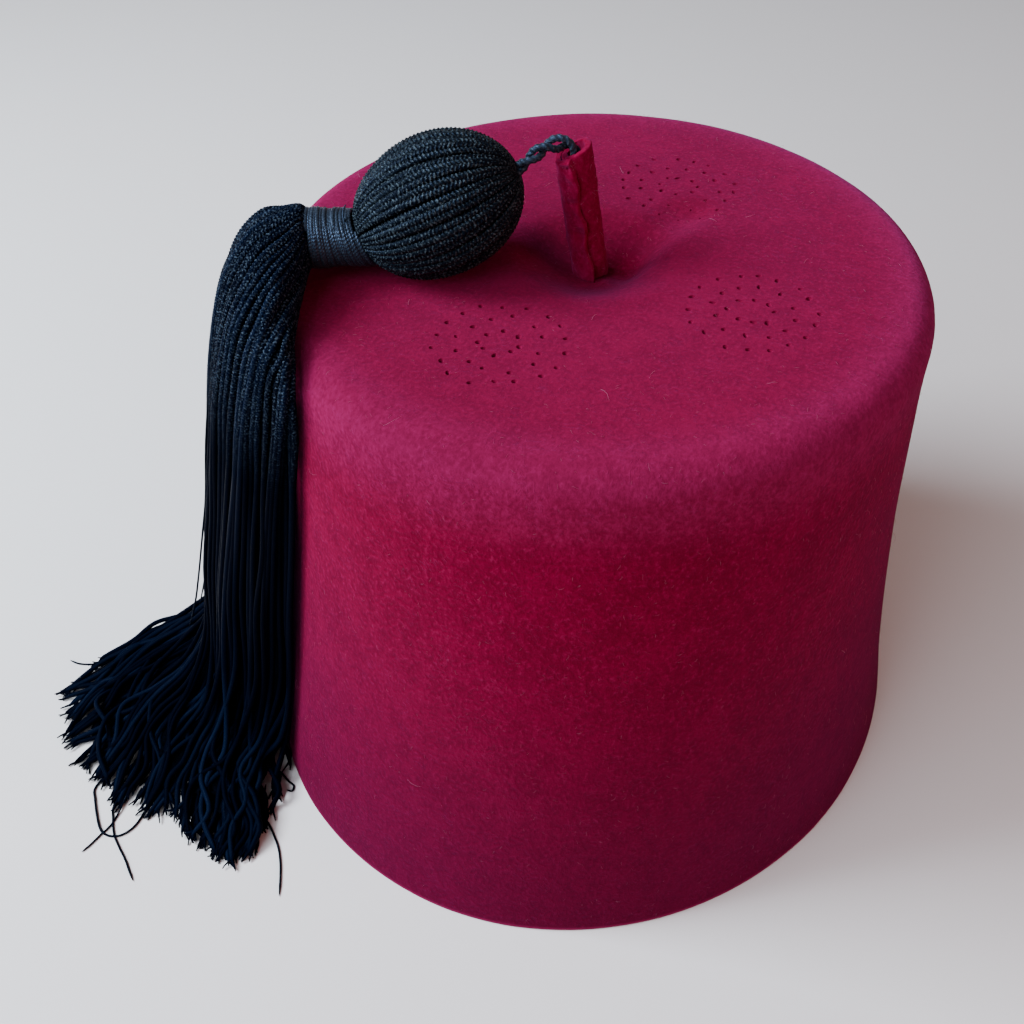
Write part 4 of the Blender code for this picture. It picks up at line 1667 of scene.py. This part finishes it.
    @cached_property
    def sections(self) -> list[BundleSection]:
        """Return the bundle's sections from the neck down the wall."""
        rows = []
        last = len(self.edge_rows) - 1
        for index, row in enumerate(self.edge_rows):
            widest = mix(self.round_section, self.dome_section, min(2.0 * index / last, 1.0))
            values = [value * MM for value in row]
            rows.append(BundleSection(*values, widest, 1.0 if index else 0.0))
        for height, thickness, middle, half_width in np.array(self.wall_rows) * MM:
            reach = float(self.drum.radius(self.place.azimuth, height)) + self.clearance
            rows.append(BundleSection(reach, height, reach + thickness, height, middle,
                                      half_width, self.dome_section, 1.0))
        return rows

    def spot(self, section: BundleSection, angle: float, hold: float) -> np.ndarray:
        """Return a place in a section.

        Args:
            section: The section of the bundle.
            angle: The direction in it, 0 outwards and positive towards the near side.
            hold: The share of the way from its middle to its outline.

        Returns:
            Reach, side and height.
        """
        low = min(section.inner_height, self.drum.shoulder_height)
        edge = float(self.drum.radius(self.place.azimuth, low))
        outward = math.cos(angle) * hold
        span = 1.0 - section.widest if outward > 0.0 else section.widest
        share = section.widest + span * outward
        side = section.middle + section.half_width * math.sin(angle) * hold
        azimuth = self.place.azimuth + math.atan2(side, section.inner_reach)
        radius = section.inner_reach * float(self.drum.radius(azimuth, low)) / edge
        wrap = section.inner_reach - math.sqrt(max(radius ** 2 - side ** 2, 0.0))
        return np.array((
            mix(section.inner_reach, section.outer_reach, share) - wrap * section.hug,
            side, mix(section.inner_height, section.outer_height, share)))

    def build(self) -> list[bpy.types.Object]:
        """Return the fringe as a few objects, each of cords that hang side by side."""
        groups = [CordMesh(lay=self.lay) for _ in range(4)]
        lengths = []
        for layer in self.layers:
            for index in range(layer.cords):
                share = (index + 0.5) / layer.cords + self.rng.normal(0.0, 0.004)
                group = groups[min(int(max(share, 0.0) * 4), 3)]
                share = float(np.clip(share, 0.0, 1.0))
                lengths.append(self._cord(group, layer, share, Twist.of(index)))
        for index, route in enumerate(self.accents):
            self._accent(groups[index % 4], route)
        LOG.info("fringe cords: %d, mean length %.1f mm", len(lengths),
                 float(np.mean(lengths)) / MM)
        return [group.build(f"fringe_cords_{index + 1}") for index, group in enumerate(groups)]

    def _hang(self, layer: SkirtLayer, share: float) -> np.ndarray:
        """Return the places that a cord passes from the neck down the wall.

        Args:
            layer: The layer that it hangs in.
            share: Its place across the layer, from the far side to the near side.

        Returns:
            Rows of reach, side and height.
        """
        places = []
        for row, section in enumerate(self.sections):
            opened = float(smoothstep((row - 1.0) / 4.0))
            angle = mix(self.neck_wrap, self.wall_wrap, opened) * (2.0 * share - 1.0)
            phase = self.lock_waves * angle + np.dot(self.lock_drift, (1.0, row, layer.rank))
            pull = self.lock_pull * opened * math.sin(phase)
            valley = self.lock_valley * opened * (0.5 + 0.5 * math.cos(phase)) ** 2
            angle = angle + pull + self.rng.normal(0.0, self.stir * opened)
            hold = layer.hold * (1.0 - valley) + self.rng.normal(0.0, self.stir * opened)
            places.append(self.spot(section, angle, min(hold, self.outermost)))
        return np.array(places)

    def _fan(self, layer: SkirtLayer, share: float, root: np.ndarray) -> np.ndarray:
        """Return the places, in mm, that a cord passes from the wall's foot to its tip.

        Args:
            layer: The layer that it belongs to.
            share: Its place across the layer.
            root: The last place on the wall.

        Returns:
            Rows of reach, side and height.
        """
        rng = self.rng
        wanted = float(np.clip(share + rng.normal(0.0, 0.020), 0.0, 1.0))
        tip = min(self.tips, key=lambda entry: abs(entry.share - wanted))
        beside = rng.uniform(-1.0, 1.0)
        if share < self.far_share:
            beside = abs(beside)
        elif share > self.near_share:
            beside = -abs(beside)
        start = root[:2].copy()
        run = np.array((tip.reach, tip.side)) - start
        distance = float(np.linalg.norm(run))
        ahead = run / distance
        across = np.array((-ahead[1], ahead[0]))
        short = (1.2 + 1.8 * beside ** 2
                 + rng.uniform(0.0, 1.0) ** 2 * (4.0 + 9.0 * (1.0 - layer.rank)))
        short = min(short, 0.3 * distance)
        end = start + ahead * (distance - short) + across * beside * 1.2 * tip.spread
        far_side = float(smoothstep((0.24 - share) / 0.24))
        rise = 12.0 + 15.0 * layer.rank + 4.0 * far_side + rng.uniform(-2.5, 2.5)
        curl = rng.normal(0.0, 0.4 if share >= self.near_share else 1.0)
        rows = [(*start, max(rise, 24.0) + 4.0)]
        for portion in self.bends:
            wave = math.sin(math.pi * portion)
            out = self.bulge * distance * wave * (1.0 - portion)
            aside = (curl * 1.8 * math.sin(TURN * portion)
                     + rng.normal(0.0, 0.6 + 1.1 * portion) + beside * 2.6 * wave)
            spot = mix(start, end, portion) + np.array(self.first_heading) * out
            fall = rise * max(1.0 - portion / (0.34 + 0.30 * far_side), 0.0) ** 1.4
            stack = layer.rank * mix(9.0, 1.6, portion) + 0.9
            rows.append((*(spot + across * aside), max(stack, fall)))
        rows.append((*end, 0.8 + rng.uniform(0.0, 1.0) * layer.rank))
        return np.array(rows)

    def _cord(self, group: CordMesh, layer: SkirtLayer, share: float, twist: Twist) -> float:
        """Add one cord of the fringe with its frayed end.

        Args:
            group: The mesh that gathers it.
            layer: The layer that it hangs in.
            share: Its place across the layer.
            twist: Which way its plies turn.

        Returns:
            Its length.
        """
        hang = self._hang(layer, share)
        fan = self._fan(layer, share, hang[-1] / MM)
        line = self.place.points(self._clear(smooth_line(np.vstack((hang[:-1], fan * MM)), 14)))
        length = float(run_of(line)[-1])
        stations = np.concatenate((
            np.arange(0.0, self.fine_length, self.fine_row if layer.fine else self.middle_row),
            np.linspace(self.fine_length, length,
                        max(int((length - self.fine_length) / self.coarse_row), 8))))
        path = walk(line, stations)
        gauge = mix(self.neck_gauge, self.gauge * self.rng.uniform(0.9, 1.08),
                    smoothstep(stations / (11.0 * MM)))
        gauge[-4:] *= (0.97, 0.92, 0.86, 0.80)
        fade = 1.0 - smoothstep((stations - self.fine_length + 12.0 * MM) / (10.0 * MM))
        shade = self.rng.uniform(0.0, 1.0)
        # Painted light: each cord is lightest near the neck, darker down the wall and lighter
        # again where it fans out, and its painted glints fade down the wall with the ply share,
        # which also sets the plies' bump.
        painted_highlight = 1.0 - smoothstep((stations - 26.0 * MM) / (48.0 * MM))
        fanned = smoothstep((stations / length - 0.70) / 0.15)
        low_shade = shade * (0.40 + 0.70 * fanned)
        group.add(path, rounded_ends(gauge), layer.sides,
                  relief=self.relief * fade * layer.fine, twist=twist,
                  shade=shade * mix(low_shade, 1.0, painted_highlight), ply=0.10 + 0.28 * painted_highlight * fade)
        self._fray(group, path, 0.7 * shade ** 2)
        return length

    def _accent(self, group: CordMesh, route: Sequence) -> None:
        """Add one cord that lies on top of the fan, through the points of a route."""
        share = np.linspace(0.0, 1.0, len(route))
        height = np.interp(share, (0.0, 0.12, 0.5, 1.0), (2.0, 7.0, 5.8, 2.0))
        line = smooth_line(np.column_stack((np.array(route), height)) * MM, 12)
        path = self.place.points(self._clear(line))
        shade = self.rng.uniform(0.2, 0.6)
        gauge = rounded_ends(np.full(len(path), 0.95 * self.gauge))
        group.add(path, gauge, shade=shade, ply=0.11)
        self._fray(group, path, shade)

    def _clear(self, line: np.ndarray) -> np.ndarray:
        """Keep a line, given as reach, side and height, off the surface and off the wall."""
        reach, side, height = line.T
        held = np.minimum(height, self.drum.shoulder_height)
        wall = self.drum.radius(self.place.azimuth + np.arctan2(side, reach), held)
        need = np.where(height < self.drum.shoulder_height, wall + self.gauge + 0.3 * MM, 0.0)
        grow = np.maximum(need / np.hypot(reach, side), 1.0)
        return np.column_stack((reach * grow, side * grow,
                                np.maximum(height, self.gauge + 0.05 * MM)))

    def _fray(self, group: CordMesh, path: np.ndarray, shade: float) -> None:
        """Let a cord's cut end fall apart into a few loose strands.

        Args:
            group: The mesh that gathers them.
            path: The cord's middle line.
            shade: The cord's own lightness.
        """
        rng, rows = self.rng, self.strand_rows
        start = walk(path, np.array([run_of(path)[-1] - self.strand_root]))[0]
        ahead = unit(path[-1] - path[-6]) * (1.0, 1.0, 0.0)
        level = unit(np.array((-ahead[1], ahead[0], 0.0)))
        share = np.linspace(0.0, 1.0, rows)[:, None]
        for _ in range(self.strands):
            length = rng.uniform(3.4, 5.8) * MM
            sway, curl = rng.normal(0.0, 0.24), rng.normal(0.0, 0.07)
            line = (start + level * rng.normal(0.0, 0.30) * MM + ahead * share * length
                    + level * (sway * share ** 2 + curl * np.sin(5.0 * share)) * length)
            drop = np.linspace(start[2], rng.uniform(0.25, 0.9) * MM, rows)
            line[:, 2] = np.maximum(drop + rng.uniform(-0.3, 0.5) * MM * share[:, 0], 0.3 * MM)
            taper = np.interp(share[:, 0], (0.0, 0.6, 1.0), (1.0, 0.9, 0.45))
            group.add(line, rng.uniform(0.30, 0.46) * MM * taper, 5,
                      shade=shade * rng.uniform(0.5, 1.0))


@dataclass
class StrayThreads(CordPiece):
    """Single threads that have left the fringe."""

    place: HatPlace
    gauge: float = 0.27 * MM
    lay: float = 1.2 * MM
    # reach and side in mm of the points that each thread passes on the surface
    floor_routes: tuple = (
        ((134.0, 36.0), (139.4, 42.0), (138.9, 46.5), (136.3, 54.3), (134.1, 57.1),
         (131.1, 57.9), (128.3, 56.9), (125.9, 54.1), (123.0, 47.0)),
        ((129.0, 43.0), (132.1, 52.2), (133.7, 55.3), (135.2, 57.0), (137.4, 59.8),
         (139.4, 61.9)),
        ((131.0, 41.0), (133.4, 48.1), (132.8, 53.0), (131.7, 57.3), (129.6, 61.2),
         (127.4, 64.8), (125.8, 68.0), (124.2, 71.1)),
        ((92.0, 46.0), (92.5, 54.5), (90.6, 57.0), (89.0, 60.1), (87.3, 64.3),
         (86.4, 68.6), (86.0, 73.4), (85.9, 78.0)),
        ((136.0, 6.0), (143.2, 2.8), (147.1, -0.2), (151.8, -0.9), (154.0, -1.5),
         (156.4, -2.8)),
        ((88.5, 42.0), (86.0, 44.6), (84.6, 46.0), (84.9, 47.6), (86.4, 47.2)))
    # reach, side and height in mm down the outside of the fringe
    hanging_routes: tuple = (
        ((82.0, 8.0, 134.0), (84.0, 8.2, 127.0), (86.6, 8.4, 118.5), (90.2, 8.5, 107.0),
         (93.8, 8.5, 93.0), (97.4, 8.5, 76.5), (101.4, 8.5, 62.0), (105.2, 8.4, 48.5),
         (109.0, 8.0, 36.0), (113.5, 7.0, 24.0)),
        ((84.0, 3.0, 128.0), (88.0, 1.5, 114.0), (92.6, 0.5, 96.0), (96.8, 0.5, 78.0),
         (101.0, 0.5, 60.0), (105.6, 0.5, 42.0), (111.0, 1.0, 26.0)))
    root_height: float = 1.9
    floor_height: float = 0.3

    def build(self) -> bpy.types.Object:
        """Return all stray threads as one object."""
        for index, route in enumerate(self.floor_routes):
            height = np.full(len(route), self.floor_height)
            height[0] = self.root_height
            self._thread(np.column_stack((route, height)), 1.1 if index else 1.25)
        for route in self.hanging_routes:
            self._thread(np.array(route), 1.0)
        return self.mesh.build("stray_threads")

    def _thread(self, places: np.ndarray, stoutness: float) -> None:
        """Add one thread through places given in millimetres."""
        gauge = self.gauge * stoutness
        line = self.place.points(smooth_line(places * MM, 8))
        line[:, 2] = np.maximum(line[:, 2], gauge)
        size = np.full(len(line), gauge)
        size[-6:] *= np.linspace(1.0, 0.45, 6)
        self.mesh.add(line, rounded_ends(size), shade=0.3, ply=0.2)


@dataclass
class InnerBundle:
    """The cords inside the head, neck and fringe, as close dark bodies."""

    place: HatPlace
    # node, name and how far it is drawn in, in mm
    bodies: tuple = (("tassel_ball", "head_core", 1.5), ("neck_wrap", "neck_core", 0.75),
                     ("tassel_skirt", "fringe_core", 3.2))
    foot: float = 4.0 * MM
    reach: float = 129.0 * MM

    def build(self) -> dict[str, bpy.types.Object]:
        """Return the inner bodies by the node that each lies in."""
        built = {}
        for node, name, shrink in self.bodies:
            built[node] = body = Bench.merged_copy(node, name)
            Bench.edit(body)
            if node == "tassel_skirt":
                edge, middle = (self.place.point(reach, 0.0, 0.0) for reach in (self.reach, 0.0))
                self._cut((0.0, 0.0, self.foot), Vector((0.0, 0.0, -1.0)))
                self._cut(edge, edge - middle)
            Bench.all()
            bpy.ops.transform.shrink_fatten(value=-shrink * MM)
            Bench.close()
            Bench.smooth(body, 60.0)
        return built

    @staticmethod
    def _cut(spot: Sequence[float], heading: Vector) -> None:
        """Cut off what lies beyond a plane, and close the cut."""
        Bench.all()
        bpy.ops.mesh.bisect(plane_co=spot, plane_no=heading, use_fill=True, clear_outer=True)


# --- The studio


class Lamp(NamedTuple):
    """A square soft lamp: its place, the side of its square, its watts and its colour."""

    name: str
    place: Sequence[float]
    size: float
    power: float
    colour: Colour


@dataclass
class Studio:
    """A pale floor, soft light and the camera at the photograph's angle."""

    eye: tuple = (0.12234, -0.17194, 0.26853)
    right: tuple = (0.82536, 0.56431, -0.01846)
    up: tuple = (-0.39005, 0.59351, 0.70399)
    forward: tuple = (-0.40823, 0.57385, -0.70997)
    lens: float = 38.67
    sensor: float = 36.0
    near_clip: float = 0.01
    floor_size: float = 6.0
    air_colour: Colour = (1.0, 0.84, 0.76)
    air: float = 0.16
    look_at: tuple = (0.02, 0.01, 0.08)
    lamps: tuple = (
        Lamp("window", (-0.56, -0.37, 0.64), 0.36, 17.4, (0.86, 0.92, 1.0)),
        Lamp("front", (-0.20, -0.66, 0.64), 0.80, 9.9, (0.90, 0.93, 1.0)),
        Lamp("room", (0.92, 0.05, 0.30), 0.50, 4.0, (1.0, 0.31, 0.20)),
        Lamp("ceiling", (0.20, 0.45, 1.05), 0.90, 1.2, (0.84, 0.93, 1.0)))

    def build(self) -> None:
        """Make the camera, the floor, the air and the lamps."""
        self._camera()
        self._floor()
        self._world()
        for lamp in self.lamps:
            self._hang(lamp)

    def _camera(self) -> None:
        """Place the camera."""
        data = bpy.data.cameras.new("photo_view")
        data.lens = self.lens
        data.sensor_width = self.sensor
        data.sensor_fit = "HORIZONTAL"
        data.clip_start = self.near_clip
        camera = show("photo_view", data)
        turn = Matrix((self.right, self.up, -Vector(self.forward))).transposed()
        camera.matrix_world = Matrix.Translation(self.eye) @ turn.to_4x4()
        bpy.context.scene.camera = camera

    def _floor(self) -> None:
        """Lay the pale floor."""
        Bench.clear()
        bpy.ops.mesh.primitive_plane_add(size=self.floor_size, location=MIDDLE)
        floor = bpy.context.object
        floor.name = floor.data.name = "floor"
        floor.data.materials.append(FloorFinish("pale_floor").material())

    def _world(self) -> None:
        """Fill the air with even soft light."""
        world = bpy.data.worlds.new("studio_air")
        world.use_nodes = True
        Graph(world.node_tree).fill(world.node_tree.nodes["Background"],
                                    {"Color": self.air_colour, "Strength": self.air})
        bpy.context.scene.world = world

    def _hang(self, lamp: Lamp) -> None:
        """Hang one lamp so that it shines at the hat."""
        data = bpy.data.lights.new(lamp.name, "AREA")
        data.size, data.energy, data.color = lamp.size, lamp.power, lamp.colour
        item = show(lamp.name, data)
        item.location = lamp.place
        heading = Vector(self.look_at) - Vector(lamp.place)
        item.rotation_euler = heading.to_track_quat("-Z", "Y").to_euler()


def main() -> None:
    """Build and dress the hat, its tassel and the studio."""
    logging.basicConfig(level=logging.INFO, format="%(name)s: %(message)s")
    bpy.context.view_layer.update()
    place = HatPlace.from_frame()
    drum = DrumShape()
    head = HeadShape(place, drum)
    stem = RolledStem(place)
    Studio().build()

    felt = CrownFinish().material()
    # stem_felt is a lighter copy of the crown's felt: painted light on the stem
    stem_felt = FeltFinish("stem_felt", wool=(0.185, 0.003, 0.031),
                           deep=(0.135, 0.0010, 0.016), bloom_amount=0.09).material()
    fibres = FibreFinish("wool_hairs").material()
    thread = ThreadFinish("rayon_thread").material()
    # head_thread is a lighter copy of the thread with stronger glints: painted light on the head
    head_thread = ThreadFinish("head_thread", light=(0.0034, 0.0056, 0.0092),
                               glint=(0.070, 0.102, 0.124), gloss=0.085).material()
    # wound_thread is a much lighter copy of the thread: painted highlight on the neck and the
    # loop cord
    wound = ThreadFinish("wound_thread", light=(0.0190, 0.0270, 0.0430),
                         glint=(0.042, 0.060, 0.083), gloss=0.28, sheen=0.03).material()
    # packed_thread is a darker copy of the thread: painted shade between the outer cords
    packed = PackedThreadFinish("packed_thread").material()

    hand_over(FeltCrown(place, drum).build(), felt, Slot.FELT, "crown")
    hand_over(FeltNap(place, drum, stem).build(), fibres, Slot.FELT)
    hand_over(stem.build(), stem_felt, Slot.FELT, "stem")
    hand_over(LoopCord(head).build(), wound, Slot.THREAD, "loop_cord")
    hand_over(TasselHead(head).build(), head_thread, Slot.THREAD, "tassel_ball")
    hand_over(NeckThread(head).build(), wound, Slot.THREAD, "neck_wrap")
    for piece in TasselSkirt(place, drum).build():
        hand_over(piece, thread, Slot.THREAD, "tassel_skirt")
    hand_over(StrayThreads(place).build(), thread, Slot.THREAD)
    for node, body in InnerBundle(place).build().items():
        hand_over(body, packed, Slot.THREAD, node)


if __name__ == "__main__":
    main()
